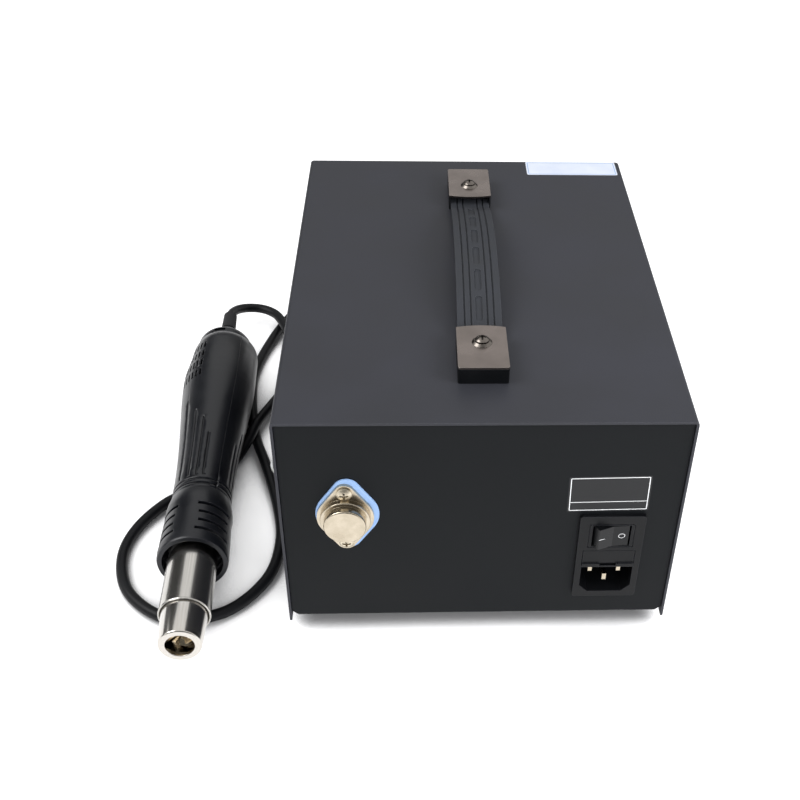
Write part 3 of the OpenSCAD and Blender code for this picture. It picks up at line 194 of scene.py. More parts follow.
def finishPiece(name, mesh, body, slot, *materials, smooth=softAngle):
    piece = newObject(name, mesh)
    for material in materials:
        mesh.materials.append(material)
    if smooth:
        mesh.shade_smooth()
        mesh.set_sharp_from_angle(angle=math.radians(smooth))
    if body:
        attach(piece, body)
    return piece


# Finishes. Sizes are millimetres, colours are sRGB

finishes = {
    # Powder coat on sheet steel, baked: fine orange peel, satin, a little paler on the folds, from wear and
    # from a painted highlight
    "powderCoatedSteel": {
        "colour": "#2c2d32", "shade": "#313238", "mottle": 45, "rough": 0.52, "spread": 0.05, "gloss": 0.3,
        "grain": 0.9, "deep": 0.02, "edge": 0.5, "wornAndLit": "#4a4b50",
    },
    # The coat on the floor and panels, darker than the cover's: partly a darker coat, partly painted shade
    # for the dimmer light on the rear panel
    "darkAndShadedCoat": {
        "colour": "#101214", "shade": "#141618", "mottle": 45, "rough": 0.55, "spread": 0.05, "gloss": 0.12,
        "grain": 0.9, "deep": 0.02, "edge": 0.5, "wornAndLit": "#34353a",
    },
    # Nitrile rubber, press moulded: matt and slightly grey on its edges, from wear and from a painted
    # highlight
    "mouldedRubber": {
        "colour": "#1c1c1e", "shade": "#232326", "mottle": 8, "rough": 0.78, "spread": 0.08,
        "grain": 0.5, "deep": 0.03, "edge": 0.4, "wornAndLit": "#2e2e31",
    },
    # Thermoplastic elastomer strap: soft dull sheen, fine moulded grain
    "strapElastomer": {
        "colour": "#2c2e32", "shade": "#313338", "mottle": 12, "rough": 0.62, "spread": 0.08, "gloss": 0.3,
        "grain": 0.6, "deep": 0.03, "edge": 0.3, "wornAndLit": "#53565b",
    },
    # Glass-filled nylon, moulded in a spark-eroded tool: even black with a fine grain
    "mouldedNylon": {
        "colour": "#0a0b0d", "shade": "#0e0f11", "mottle": 15, "rough": 0.42, "spread": 0.08, "gloss": 0.17,
        "grain": 0.4, "deep": 0.015, "edge": 0.3, "wornAndLit": "#34353a",
    },
    # ABS housing with a matt eroded grain, a little glossier where a hand holds it
    "grainedAbs": {
        "colour": "#0c0e13", "shade": "#111318", "mottle": 25, "rough": 0.34, "spread": 0.06, "gloss": 0.45,
        "grain": 0.7, "deep": 0.02, "edge": 0.4, "wornAndLit": "#3b3c40",
    },
    # Polycarbonate rocker, moulded in a polished tool
    "polishedPolycarbonate": {
        "colour": "#0a0b0d", "shade": "#0d0e10", "mottle": 10, "rough": 0.3, "spread": 0.05, "gloss": 0.22,
        "edge": 0.3,
    },
    # Red polycarbonate rocker
    "redPolycarbonate": {
        "colour": "#a81a16", "shade": "#b3211b", "mottle": 10, "rough": 0.25, "spread": 0.05, "edge": 0.3,
    },
    # Zinc plated steel: pale grey with a soft cloudy passivation
    "zincPlatedSteel": {
        "colour": "#b9bbbd", "shade": "#a7a9a4", "mottle": 3, "rough": 0.32, "spread": 0.08, "metal": 1,
        "edge": 0.12,
    },
    # Satin nickel on the transistor's screws: paler and less of a mirror than its can
    "satinNickelScrew": {
        "colour": "#ddd3bf", "shade": "#cfc5b0", "mottle": 3, "rough": 0.44, "spread": 0.06, "metal": 1,
        "edge": 0.12,
    },
    # Black oxide on steel screws: dark, slightly oily
    "blackOxideSteel": {
        "colour": "#2a2b2d", "shade": "#333437", "mottle": 2, "rough": 0.38, "spread": 0.08, "metal": 0.7,
        "edge": 0.12,
    },
    # Nickel plated steel, bright, faintly warm
    "nickelPlatedSteel": {
        "colour": "#c6bba8", "shade": "#b8ad99", "mottle": 6, "rough": 0.24, "spread": 0.06, "metal": 1,
        "edge": 0.15,
    },
    # Dark nickel on the handle's screws, turned
    "darkNickelScrew": {
        "colour": "#6b6560", "shade": "#7a746e", "mottle": 2, "rough": 0.28, "spread": 0.06, "metal": 1,
        "edge": 0.15,
    },
    # Dark nickel on the pressed handle plates, brushed across, its edges painted pale: wear and a painted
    # highlight
    "darkNickelPlate": {
        "colour": "#857c77", "shade": "#7a726d", "mottle": 14, "rough": 0.3, "spread": 0.05, "metal": 1,
        "edge": 0.25, "wornAndLit": "#c9c2bc", "streak": (30, 0.5, 0.5), "deep": 0.004,
    },
    # Silicone heat pad, calendered sheet: matt and powdery blue
    "siliconeSheet": {
        "colour": "#9cbce9", "shade": "#93b4e4", "mottle": 5, "rough": 0.7, "spread": 0.06,
        "grain": 0.4, "deep": 0.02,
    },
    # Textured polyester film on the front panel
    "polyesterFilm": {
        "colour": "#232428", "shade": "#26272b", "mottle": 30, "rough": 0.55, "spread": 0.04,
        "grain": 0.3, "deep": 0.01,
    },
    # Black potted housings of the displays
    "pottedModule": {
        "colour": "#1b1b1c", "shade": "#212122", "mottle": 5, "rough": 0.6, "spread": 0.06,
        "grain": 0.4, "deep": 0.02,
    },
    # Turned brass, bare
    "turnedBrass": {
        "colour": "#d1b15f", "shade": "#c3a252", "mottle": 4, "rough": 0.28, "spread": 0.06, "metal": 1,
        "edge": 0.15,
    },
    # Aluminium: extruded, with die lines along it
    "extrudedAluminium": {
        "colour": "#bcbfc3", "shade": "#afb2b6", "mottle": 8, "rough": 0.35, "spread": 0.06, "metal": 1,
        "edge": 0.2, "streak": (0.5, 0.5, 20), "deep": 0.005,
    },
    # Varnished transformer sheet stacked half a millimetre thick, drawn twice as thick so that it shows
    "laminatedSteel": {
        "colour": "#55565a", "shade": "#6a6b6f", "mottle": 6, "rough": 0.45, "spread": 0.08, "metal": 0.8,
        "bands": 1.0, "bandAxis": "Y", "deep": 0.1,
    },
    # Enamelled copper winding under clear tape
    "enamelledCopper": {
        "colour": "#b8762d", "shade": "#8f5418", "mottle": 4, "rough": 0.3, "spread": 0.05, "metal": 0.6,
        "bands": 0.9, "bandAxis": "Z", "deep": 0.15,
    },
    # Shrunk sleeve of the capacitors
    "shrinkSleeve": {
        "colour": "#26304c", "shade": "#222b45", "mottle": 10, "rough": 0.28, "spread": 0.05, "edge": 0.4,
    },
    # Steatite and mica of the heater
    "heaterCeramic": {
        "colour": "#cdc4b2", "shade": "#b9aa8e", "mottle": 3, "rough": 0.65, "spread": 0.08,
        "grain": 0.5, "deep": 0.03,
    },
    # Vanes in the nozzle's mouth, tinted straw and brown by the heat
    "heatTintedSteel": {
        "colour": "#e6d8bd", "shade": "#a08a66", "mottle": 3.5, "rough": 0.25, "spread": 0.1, "metal": 1,
        "edge": 0.1,
    },
    # Flexible jacket of the cord: extruded rubber, dull with a faint lengthwise sheen
    "cordJacket": {
        "colour": "#090a0d", "shade": "#0e0f12", "mottle": 20, "rough": 0.5, "spread": 0.06, "gloss": 0.22,
        "grain": 0.8, "deep": 0.015,
    },
    # Red nylon cap of the binding post, moulded
    "redNylon": {
        "colour": "#a01818", "shade": "#8f1515", "mottle": 8, "rough": 0.38, "spread": 0.06, "edge": 0.3,
    },
    # Solder mask over copper
    "solderMask": {
        "colour": "#1d5b38", "shade": "#27704a", "mottle": 4, "rough": 0.3, "spread": 0.06, "edge": 0.2,
    },
    # White screen print
    "whitePrint": {
        "colour": "#f4f5f6", "shade": "#eceef0", "mottle": 3, "rough": 0.5, "spread": 0.05,
    },
    # Blank polyester label, black and satin
    "blackLabel": {
        "colour": "#131416", "shade": "#17181a", "mottle": 12, "rough": 0.4, "spread": 0.05, "gloss": 0.3,
        "edge": 0.1,
    },
    # Blank vinyl sticker, cool white and slightly glossy
    "vinylSticker": {
        "colour": "#dfe6f3", "shade": "#d6deef", "mottle": 12, "rough": 0.4, "spread": 0.05,
    },
    # Blue ink on the sticker's border
    "blueInk": {
        "colour": "#7fa6d8", "shade": "#86acdb", "mottle": 6, "rough": 0.45, "spread": 0.05,
    },
    # Unlit segments behind the red window
    "unlitSegment": {
        "colour": "#8d8480", "shade": "#857c78", "mottle": 3, "rough": 0.5, "spread": 0.05,
    },
}


# What the finishes share: the part of the noise that goes from one colour to the other and from gloss to
# matt, and how far an edge's rounding turns before the edge takes its paler colour, wear and a painted
# highlight in one
finishPattern = {
    "cloud": (0.35, 0.65), "cloudDetail": 4, "gloss": (0.3, 0.7), "wornAndLitTurn": (0.995, 0.85), "wornAndLitShare": 0.8,
    "grainDetail": 2, "streakDetail": 3, "bandWander": 0.2, "edgeSamples": 4,
}


def makeFinish(name, look, shared):
    material, tree, shader, place = newMaterial(name)
    shader.inputs["Metallic"].default_value = look.get("metal", 0)
    shader.inputs["Specular IOR Level"].default_value = look.get("gloss", 0.5)
    cloud = addNode(tree, "ShaderNodeTexNoise", {
        "Scale": perMm(look["mottle"]), "Detail": shared["cloudDetail"], "Vector": place,
    })
    blend = addNode(tree, "ShaderNodeMapRange", {
        "Value": cloud, "From Min": shared["cloud"][0], "From Max": shared["cloud"][1],
    })
    colour = addNode(tree, "ShaderNodeMix", {
        "data_type": "RGBA", 0: blend, 6: linear(look["colour"]), 7: linear(look["shade"]),
    }).outputs[2]
    gloss = addNode(tree, "ShaderNodeMapRange", {
        "Value": cloud, "From Min": shared["gloss"][0], "From Max": shared["gloss"][1],
        "To Min": look["rough"] - look["spread"], "To Max": look["rough"] + look["spread"],
    })
    tree.links.new(gloss.outputs[0], shader.inputs["Roughness"])
    normal = None
    if "edge" in look:  # rounds the edges to the eye
        normal = addNode(tree, "ShaderNodeBevel", {
            "samples": shared["edgeSamples"], "Radius": look["edge"] * mm,
        })
        # Paler edges where the rounding turns: partly wear, partly a painted highlight for the light that
        # edges catch
        if "wornAndLit" in look:
            plain = addNode(tree, "ShaderNodeNewGeometry").outputs["Normal"]
            facing = addNode(tree, "ShaderNodeVectorMath", {"operation": "DOT_PRODUCT", 0: normal, 1: plain})
            wornAndLitShare = addNode(tree, "ShaderNodeMapRange", {
                "Value": facing.outputs["Value"], "From Min": shared["wornAndLitTurn"][0],
                "From Max": shared["wornAndLitTurn"][1], "To Max": shared["wornAndLitShare"],
            })
            colour = addNode(tree, "ShaderNodeMix", {
                "data_type": "RGBA", 0: wornAndLitShare, 6: colour, 7: linear(look["wornAndLit"]),
            }).outputs[2]
    tree.links.new(colour, shader.inputs["Base Color"])
    height = None
    if "grain" in look:
        height = addNode(tree, "ShaderNodeTexNoise", {
            "Scale": perMm(look["grain"]), "Detail": shared["grainDetail"], "Vector": place,
        })
    if "streak" in look:  # noise drawn out along one direction
        drawn = addNode(tree, "ShaderNodeMapping", {
            "vector_type": "TEXTURE", "Scale": look["streak"], "Vector": place,
        })
        height = addNode(tree, "ShaderNodeTexNoise", {
            "Scale": perMm(1), "Detail": shared["streakDetail"], "Vector": drawn,
        })
    if "bands" in look:  # the wave runs through 20 bands in one unit
        height = addNode(tree, "ShaderNodeTexWave", {
            "bands_direction": look["bandAxis"], "Scale": perMm(look["bands"]) / 20,
            "Distortion": shared["bandWander"], "Vector": place,
        }).outputs[1]
    if height:
        bump = {"Distance": look["deep"] * mm, "Height": height}
        if normal:
            bump["Normal"] = normal
        normal = addNode(tree, "ShaderNodeBump", bump)
    if normal:
        tree.links.new(normal.outputs[0], shader.inputs["Normal"])
    return material


made = {name: makeFinish(name, look, finishPattern) for name, look in finishes.items()}

# Stainless tube, drawn and polished along its length: hair-fine lines that stretch every reflection,
# and a straw bloom from the heat towards the mouth
drawnSteels = {
    "drawnStainless": {"colour": "#d3d1cc", "shade": "#b7b4ae", "rough": 0.2, "bloom": 0},
    "polishedStainless": {"colour": "#d6d5d2", "shade": "#bebcb8", "rough": 0.17, "bloom": 0.15},
}
drawnLines = {
    "width": 0.8, "stretch": 60, "detail": 3, "smoother": 0.06, "rougher": 0.08, "deep": 0.004, "edge": 0.2,
    "edgeSamples": 4, "bloomReach": 30, "bloomColour": "#cdb898",
}


def makeDrawnSteel(name, look, shared):
    material, tree, shader, place = newMaterial(name)
    shader.inputs["Metallic"].default_value = 1
    onGun = {
        "vector_type": "TEXTURE", "Location": nozzleFace, "Rotation": gunTurn.to_euler(), "Vector": place,
    }
    stretched = addNode(tree, "ShaderNodeMapping", {**onGun, "Scale": (1, 1, shared["stretch"])})
    lines = addNode(tree, "ShaderNodeTexNoise", {
        "Scale": perMm(shared["width"]), "Detail": shared["detail"], "Vector": stretched,
    })
    gloss = addNode(tree, "ShaderNodeMapRange", {
        "Value": lines, "To Min": look["rough"] - shared["smoother"],
        "To Max": look["rough"] + shared["rougher"],
    })
    tree.links.new(gloss.outputs[0], shader.inputs["Roughness"])
    plain = addNode(tree, "ShaderNodeMix", {
        "data_type": "RGBA", 0: lines, 6: linear(look["colour"]), 7: linear(look["shade"]),
    }).outputs[2]
    depth = addNode(tree, "ShaderNodeSeparateXYZ", {0: addNode(tree, "ShaderNodeMapping", onGun)}).outputs[2]
    warm = addNode(tree, "ShaderNodeMapRange", {
        "Value": depth, "From Min": shared["bloomReach"] * mm, "From Max": 0, "To Max": look["bloom"],
    })
    tinted = addNode(tree, "ShaderNodeMix", {
        "data_type": "RGBA", 0: warm, 6: plain, 7: linear(shared["bloomColour"]),
    }).outputs[2]
    tree.links.new(tinted, shader.inputs["Base Color"])
    edge = addNode(tree, "ShaderNodeBevel", {
        "samples": shared["edgeSamples"], "Radius": shared["edge"] * mm,
    })
    bump = addNode(tree, "ShaderNodeBump", {
        "Distance": shared["deep"] * mm, "Height": lines, "Normal": edge,
    })
    tree.links.new(bump.outputs[0], shader.inputs["Normal"])
    return material


clearFinishes = {
    # Cast acrylic filter, deep red and polished, with the unlit digits showing through
    "redAcrylic": {
        "colour": "#a02020", "clear": 0.85, "ior": 1.49, "haze": 12, "detail": 3, "gloss": (0.03, 0.1),
    },
    # Drawn glass tube of the fuse
    "drawnGlass": {
        "colour": "#eef4f2", "clear": 1, "ior": 1.5, "haze": 2, "detail": 2, "gloss": (0.01, 0.06),
    },
}


def makeClear(name, look):
    material, tree, shader, place = newMaterial(name)
    shader.inputs["Base Color"].default_value = linear(look["colour"])
    shader.inputs["IOR"].default_value = look["ior"]
    shader.inputs["Transmission Weight"].default_value = look["clear"]
    haze = addNode(tree, "ShaderNodeTexNoise", {
        "Scale": perMm(look["haze"]), "Detail": look["detail"], "Vector": place,
    })
    gloss = addNode(tree, "ShaderNodeMapRange", {
        "Value": haze, "To Min": look["gloss"][0], "To Max": look["gloss"][1],
    })
    tree.links.new(gloss.outputs[0], shader.inputs["Roughness"])
    return material


for name, look in drawnSteels.items():
    made[name] = makeDrawnSteel(name, look, drawnLines)
for name, look in clearFinishes.items():
    made[name] = makeClear(name, look)

# Which pieces of the frame wear each finish
wearers = {
    "powderCoatedSteel": ["cover"],
    "darkAndShadedCoat": ["chassis"],
    "mouldedRubber": ["feet", "gun_gland", "gun_relief"],
    "zincPlatedSteel": [
        "foot_screws", "holder_screws", "transformer_frame", "iron_socket", "front_standoffs",
        "potentiometers", "board_standoffs",
    ],
    "blackOxideSteel": ["cover_screws", "gun_screws"],
    "mouldedNylon": [
        "handle_bases", "inlet_housing", "fuse_drawer", "switch_frames", "post_collars", "iron_socket_insert",
        "knob_air_flow", "knob_air_heat", "knob_iron_heat", "knob_volts", "knob_amps", "post_cap_black",
        "fan_motor", "fan_rotor",
    ],
    "darkNickelPlate": ["handle_caps"],
    "strapElastomer": ["handle_strap"],
    "darkNickelScrew": ["handle_screws"],
    "nickelPlatedSteel": ["power_transistor", "transistor_screws", "inlet_pins"],
    "siliconeSheet": ["transistor_pad"],
    "polishedPolycarbonate": ["power_rocker"],
    "redPolycarbonate": ["rocker_air", "rocker_iron", "rocker_supply"],
    "drawnGlass": ["fuse"],
    "polyesterFilm": ["front_overlay"],
    "redAcrylic": ["display_windows"],
    "pottedModule": ["display_modules"],
    "solderMask": ["front_board", "main_board"],
    "turnedBrass": ["post_studs"],
    "redNylon": ["post_cap_red"],
    "shrinkSleeve": ["capacitors"],
    "extrudedAluminium": ["heat_sink"],
    "laminatedSteel": ["transformer_core"],
    "enamelledCopper": ["transformer_winding"],
    "grainedAbs": ["gun_shell_left", "gun_shell_right", "gun_collar", "gun_end_cap"],
    "drawnStainless": ["gun_barrel"],
    "polishedStainless": ["gun_nozzle"],
    "heaterCeramic": ["gun_heater"],
    "heatTintedSteel": ["nozzle_vanes"],
    "cordJacket": ["gun_cord"],
}
for finish, pieces in wearers.items():
    for node in pieces:
        slots = nodes[node].data.materials
        slots.clear()
        slots.append(made[finish])
print("finishes made:", len(made))


# Cord of the gun: it hangs to the bench, loops round under the gun, passes below the case's edge
# and comes back to the front panel

cordRoute = [
    (153.5, -134.5, 17.2), (151, -142.5, 14.5), (145.5, -148.8, 11.6), (137.5, -151, 9.7),
    (129.5, -147.5, 9.3), (123, -139.5, 9.4), (116, -122.5, 8), (110.5, -94, 3.6), (112.5, -72, 4),
    (119, -49, 7.6), (126.3, -27.5, 9.5), (130.6, -12.5, 7.2), (139, 5, 3.5), (151.5, 22, 3),
    (169.5, 33.5, 3), (183, 55, 3), (186, 78, 3), (177, 102, 3), (154.5, 118, 3), (127, 114, 3),
    (108.5, 92, 3), (104, 65, 3), (108, 38, 3), (118, 3.5, 3), (127, -23, 3), (132.8, -56, 3),
    (134.2, -88, 3), (127.5, -122, 3), (117, -152, 3), (101, -182, 3), (70, -203, 3), (26, -211, 3),
    (-16, -206, 3), (-37, -188, 3), (-30, -167, 3), (-5, -160.5, 3.6), (36, -169, 8.5), (56, -162, 22.5),
]
cordLook = {  # still and lifted: between these two places the cord goes over from the bench to the gun
    "radius": 3, "sides": 16, "steps": 8, "length": 0.986,
    "still": (127, -140, 3), "lifted": (136.14, -145.49, 21.28),
}


def bend(a, b, c, d, t):  # smooth curve from b to c
    square, cube = 2 * a - 5 * b + 4 * c - d, 3 * b - a - 3 * c + d
    return 0.5 * (2 * b + (c - a) * t + square * t * t + cube * t ** 3)


def cordCentres(points, steps):
    centres = []
    for i in range(len(points) - 1):
        around = [points[max(i - 1, 0)], points[i], points[i + 1], points[min(i + 2, len(points) - 1)]]
        centres += [bend(*around, step / steps) for step in range(steps)]
    return centres + [points[-1]]


def tubeMesh(name, centres, radius, sides, first, last):  # first and last: the directions of its ends
    shape = bmesh.new()
    rings = []
    for i, centre in enumerate(centres):
        way = centres[min(i + 1, len(centres) - 1)] - centres[max(i - 1, 0)]
        way = first if i == 0 else last if i == len(centres) - 1 else way.normalized()
        side = Vector((0, 0, 1)).cross(way).normalized()
        over = way.cross(side)
        turns = [2 * math.pi * k / sides for k in range(sides)]
        rings.append([
            shape.verts.new(centre + radius * (math.cos(t) * side + math.sin(t) * over)) for t in turns
        ])
    for ring, after in zip(rings, rings[1:]):
        for k in range(sides):
            following = (k + 1) % sides
            shape.faces.new((ring[k], after[k], after[following], ring[following]))
    shape.faces.new(rings[0])
    shape.faces.new(list(reversed(rings[-1])))
    bmesh.ops.recalc_face_normals(shape, faces=shape.faces)
    return meshFrom(shape, name)


glandLow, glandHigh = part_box("gun_gland")
glandTip = Vector(((glandLow.x + glandHigh.x) / 2, glandLow.y, (glandLow.z + glandHigh.z) / 2))
cordPoints = [reliefTip] + [spot(*point) for point in cordRoute] + [glandTip]
cordLine = cordCentres(cordPoints, cordLook["steps"])
cordMesh = tubeMesh(
    "gunCordTube", cordLine, cordLook["radius"] * mm, cordLook["sides"], gunBack, Vector((0, 1, 0))
)
cord = finishPiece("gunCordTube", cordMesh, None, "cord_rubber", made["cordJacket"])
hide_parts("gun_cord")
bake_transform(cord)
print("cord laid, length", round(sum((b - a).length for a, b in zip(cordLine, cordLine[1:])), 4))


# Bench and light

studio = {  # sizes in metres, power in watts, places in millimetres from the middle of the case
    "floorSize": 8, "floorDrop": 0.2 * mm, "floorColour": "#b4b4b6", "floorGlow": 0.95, "shadowReach": 0.037,
    "shadowFade": (0.36, 0.68), "shadowSamples": 12, "fill": 0.3,
    "lamps": [
        {"from": (1100, 200, 1300), "size": 0.9, "power": 16.5, "glossy": True},  # above the gun's side
        {"from": (-200, 1500, 650), "size": 1.2, "power": 19, "glossy": False},  # on the rear panel
        {"from": (-430, 260, 420), "size": 0.3, "power": 2.6, "glossy": False},  # on the top's near corner
    ],
}


def lightPathMask(tree):  # 1 for what the camera, a gloss or a glass sees, 0 for light that falls on things
    path = addNode(tree, "ShaderNodeLightPath").outputs
    sharp = addNode(tree, "ShaderNodeMath", {
        "operation": "MAXIMUM", 0: path["Is Camera Ray"], 1: path["Is Glossy Ray"],
    })
    return addNode(tree, "ShaderNodeMath", {
        "operation": "MAXIMUM", 0: sharp, 1: path["Is Transmission Ray"],
    })


# Floor: white to the camera and to reflections through its glow, which ambient occlusion takes away near
# things as a painted contact shadow; the lamps' shadows fall on its matt part
def makeFloor(look):
    material = bpy.data.materials.new("benchPaper")
    tree = emptyTree(material)
    matt = addNode(tree, "ShaderNodeBsdfDiffuse", {"Color": linear(look["floorColour"])})
    near = addNode(tree, "ShaderNodeAmbientOcclusion", {
        "samples": look["shadowSamples"], "Distance": look["shadowReach"],
    })
    unshaded = addNode(tree, "ShaderNodeMapRange", {
        "interpolation_type": "SMOOTHSTEP", "Value": near.outputs["AO"],
        "From Min": look["shadowFade"][0], "From Max": look["shadowFade"][1], "To Max": look["floorGlow"],
    })
    glow = addNode(tree, "ShaderNodeEmission", {"Strength": unshaded})
    nothing = addNode(tree, "ShaderNodeEmission", {"Strength": 0})
    seen = addNode(tree, "ShaderNodeMixShader", {0: lightPathMask(tree), 1: nothing, 2: glow})
    both = addNode(tree, "ShaderNodeAddShader", {0: matt, 1: seen})
    addNode(tree, "ShaderNodeOutputMaterial", {0: both})
    mesh = bpy.data.meshes.new("bench")
    corners = rectangle(look["floorSize"], look["floorSize"])
    mesh.from_pydata([(x, y, -look["floorDrop"]) for x, y in corners], [], [(0, 1, 2, 3)])
    floor = finishPiece("bench", mesh, None, None, material, smooth=0)


def makeWorld(look):
    world = bpy.data.worlds.new("studio")
    bpy.context.scene.world = world
    tree = emptyTree(world)
    fill, white = (
        addNode(tree, "ShaderNodeBackground", {"Strength": strength, "Color": (1, 1, 1, 1)})
        for strength in (look["fill"], 1)
    )
    both = addNode(tree, "ShaderNodeMixShader", {0: lightPathMask(tree), 1: fill, 2: white})
    addNode(tree, "ShaderNodeOutputWorld", {0: both})


def makeLamp(i, look):
    data = bpy.data.lights.new(f"softbox{i}", "AREA")
    data.shape = "SQUARE"
    data.size = look["size"]
    data.energy = look["power"]
    lamp = newObject(f"softbox{i}", data)
    place = spot(*look["from"])
    lamp.matrix_world = Matrix.Translation(place) @ (-place).to_track_quat("-Z", "Y").to_matrix().to_4x4()
    lamp.visible_glossy = look["glossy"]


# Dark cards that only reflections see, as in a studio whose camera side is unlit
flags = [
    {"middle": (0, 1500, 500), "size": (3.2, 2.4), "grey": 0.08},
    {"middle": (0, -2000, 400), "size": (4.4, 0.9), "grey": 0.12},
    {"middle": (1800, -600, 340), "size": (3.4, 0.7), "grey": 0.12},
    {"middle": (1300, -1260, 750), "size": (0.95, 1.6), "grey": 0.03},
]


def makeFlag(i, look):
    middle = spot(*look["middle"])
    turn = (-middle).to_track_quat("Z", "Y").to_matrix().to_4x4()
    mesh = bpy.data.meshes.new(f"flag{i}")
    mesh.from_pydata([(x, y, 0) for x, y in rectangle(*look["size"])], [], [(0, 1, 2, 3)])
    mesh.transform(Matrix.Translation(middle) @ turn)
    material = bpy.data.materials.new(f"flagCloth{i}")
    tree = emptyTree(material)
    shade = addNode(tree, "ShaderNodeEmission", {"Strength": look["grey"]})
    addNode(tree, "ShaderNodeOutputMaterial", {0: shade})
    flag = finishPiece(f"flag{i}", mesh, None, None, material, smooth=0)
    flag.visible_camera = False
    flag.visible_diffuse = False
    flag.visible_shadow = False
    flag.visible_transmission = False


makeFloor(studio)
makeWorld(studio)
for i, look in enumerate(studio["lamps"]):
    makeLamp(i, look)
for i, look in enumerate(flags):
    makeFlag(i, look)
bpy.context.scene.view_settings.view_transform = "Standard"
print("stage lit")


# Geometry trees


def startTree(name, inputs):
    tree = bpy.data.node_groups.new(name, "GeometryNodeTree")
    tree.interface.new_socket("Geometry", in_out="INPUT", socket_type="NodeSocketGeometry")
    tree.interface.new_socket("Geometry", in_out="OUTPUT", socket_type="NodeSocketGeometry")
    for label, kind in inputs.items():
        tree.interface.new_socket(label, in_out="INPUT", socket_type="NodeSocket" + kind)
    return tree, tree.nodes.new("NodeGroupInput").outputs


def endTree(tree, geometry, material):
    plain = addNode(tree, "GeometryNodeRealizeInstances", {0: geometry})
    dressed = addNode(tree, "GeometryNodeSetMaterial", {"Geometry": plain, "Material": material})
    addNode(tree, "NodeGroupOutput", {0: dressed})


def seatPoints(name, places, axes=None):  # axes: a direction or a turn kept with each point
    mesh = bpy.data.meshes.new(name)
    mesh.from_pydata([tuple(place) for place in places], [], [])
    if axes:
        attribute = mesh.attributes.new("axis", "FLOAT_VECTOR", "POINT")
        attribute.data.foreach_set("vector", [value for axis in axes for value in axis])
    return mesh


def growTree(tree, name, points, values, body, slot, smooth=softAngle):
    holder = newObject(name, points)
    modifier = holder.modifiers.new("shape", "NODES")
    modifier.node_group = tree
    sockets = {item.name: item.identifier for item in tree.interface.items_tree if item.in_out == "INPUT"}
    for label, value in values.items():
        modifier[sockets[label]] = value
    return finishPiece(name, finalMesh(holder), body, slot, smooth=smooth)


# Gun: the frame's collar, handle and barrel drawn to the outline that the photograph shows. The slots, rings
# and grooves sit further forward, the handle is cut away at its left rear and fuller at its right rear

gunForm = {  # radii and places along the axis, from the nozzle's face
    "waist": 15.6, "bulge": 21.1, "back": 17.4, "swellFrom": 103, "bulgeAt": 208, "backAt": 240.5,
    "swell": 1.15, "roundOff": 6, "rightRoundOff": 14,
    "leftCut": 2.2, "leftCutFrom": 203, "leftCutOver": 24, "leftLeast": 16.9,
    "collarInside": 13.6, "shoulder": 0.5, "shoulderFrom": 80, "shoulderTo": 95, "core": 1,
}
gunPieces = {
    "gun_collar": {"finish": "grainedAbs", "slot": "collar_plastic"},
    "gun_shell_left": {"finish": "grainedAbs", "slot": "gun_plastic"},
    "gun_shell_right": {"finish": "grainedAbs", "slot": "gun_plastic"},
    "gun_barrel": {"finish": "drawnStainless", "slot": "barrel_steel"},
}
# Pairs of places along the axis from the nozzle's face: in the frame, and on the drawn piece
gunStations = {
    "gun_collar": [
        (54, 54), (74, 60.6), (75.5, 62.6), (80, 66.8), (81.5, 68.8), (86, 73.2), (87.5, 75.2), (92, 79.6),
        (93.5, 81.6), (102.6, 95),
    ],
    "gun_shell_left": [
        (103, 95.4), (105.5, 97.6), (106.9, 98.8), (114, 101), (115.4, 102.2), (119, 104.6), (163, 139.5),
        (190, 172.7), (191.6, 191.6),
    ],
    "gun_barrel": [(27, 24), (50, 50)],
}
gunStations["gun_shell_right"] = gunStations["gun_shell_left"]
gunStations["gun_screws"] = gunStations["gun_shell_left"]


def stationOf(along, stations):  # straight between the pairs, shifted as a whole beyond them
    if along <= stations[0][0]:
        return along + stations[0][1] - stations[0][0]
    for (a, b), (c, d) in zip(stations, stations[1:]):
        if along <= c:
            return b + (d - b) * (along - a) / (c - a)
    return along + stations[-1][1] - stations[-1][0]


def smoothStep(t):
    t = min(max(t, 0), 1)
    return t * t * (3 - 2 * t)


def handleRadius(along, look, roundOff):
    if along < look["bulgeAt"]:
        t = max(along - look["swellFrom"], 0) / (look["bulgeAt"] - look["swellFrom"])
        return look["waist"] + (look["bulge"] - look["waist"]) * smoothStep(t ** look["swell"])
    t = min((along - look["bulgeAt"]) / (look["backAt"] - look["bulgeAt"]), 1)
    return look["bulge"] - (look["bulge"] - look["back"]) * t ** roundOff


def drawnRadius(along, side, look):  # side is 1 at the gun's left and -1 at its right
    middle = handleRadius(along, look, look["roundOff"])
    if side > 0:
        cut = look["leftCut"] * smoothStep((along - look["leftCutFrom"]) / look["leftCutOver"])
        left = max(middle - cut, min(middle, look["leftLeast"]))
        return middle + (left - middle) * side ** 2
    right = handleRadius(along, look, look["rightRoundOff"])
    return middle + (right - middle) * side ** 2


def drawnPoint(node, point, look):
    away = (point - nozzleFace) / mm
    along, x, y = away.dot(gunBack), away.dot(gunLeft), away.dot(gunUp)
    placed = stationOf(along, gunStations[node])
    out = math.hypot(x, y)
    scale = 1
    if node == "gun_collar" and out > look["collarInside"]:
        t = (placed - look["shoulderFrom"]) / (look["shoulderTo"] - look["shoulderFrom"])
        scale = 1 + look["shoulder"] * math.sin(math.pi * min(max(t, 0), 1)) / out
    elif node in ("gun_shell_left", "gun_shell_right", "gun_screws") and out > look["core"]:
        scale = drawnRadius(placed, x / out, look) / handleRadius(along, look, look["roundOff"])
    return nozzleFace + (gunBack * placed + (gunLeft * x + gunUp * y) * scale) * mm


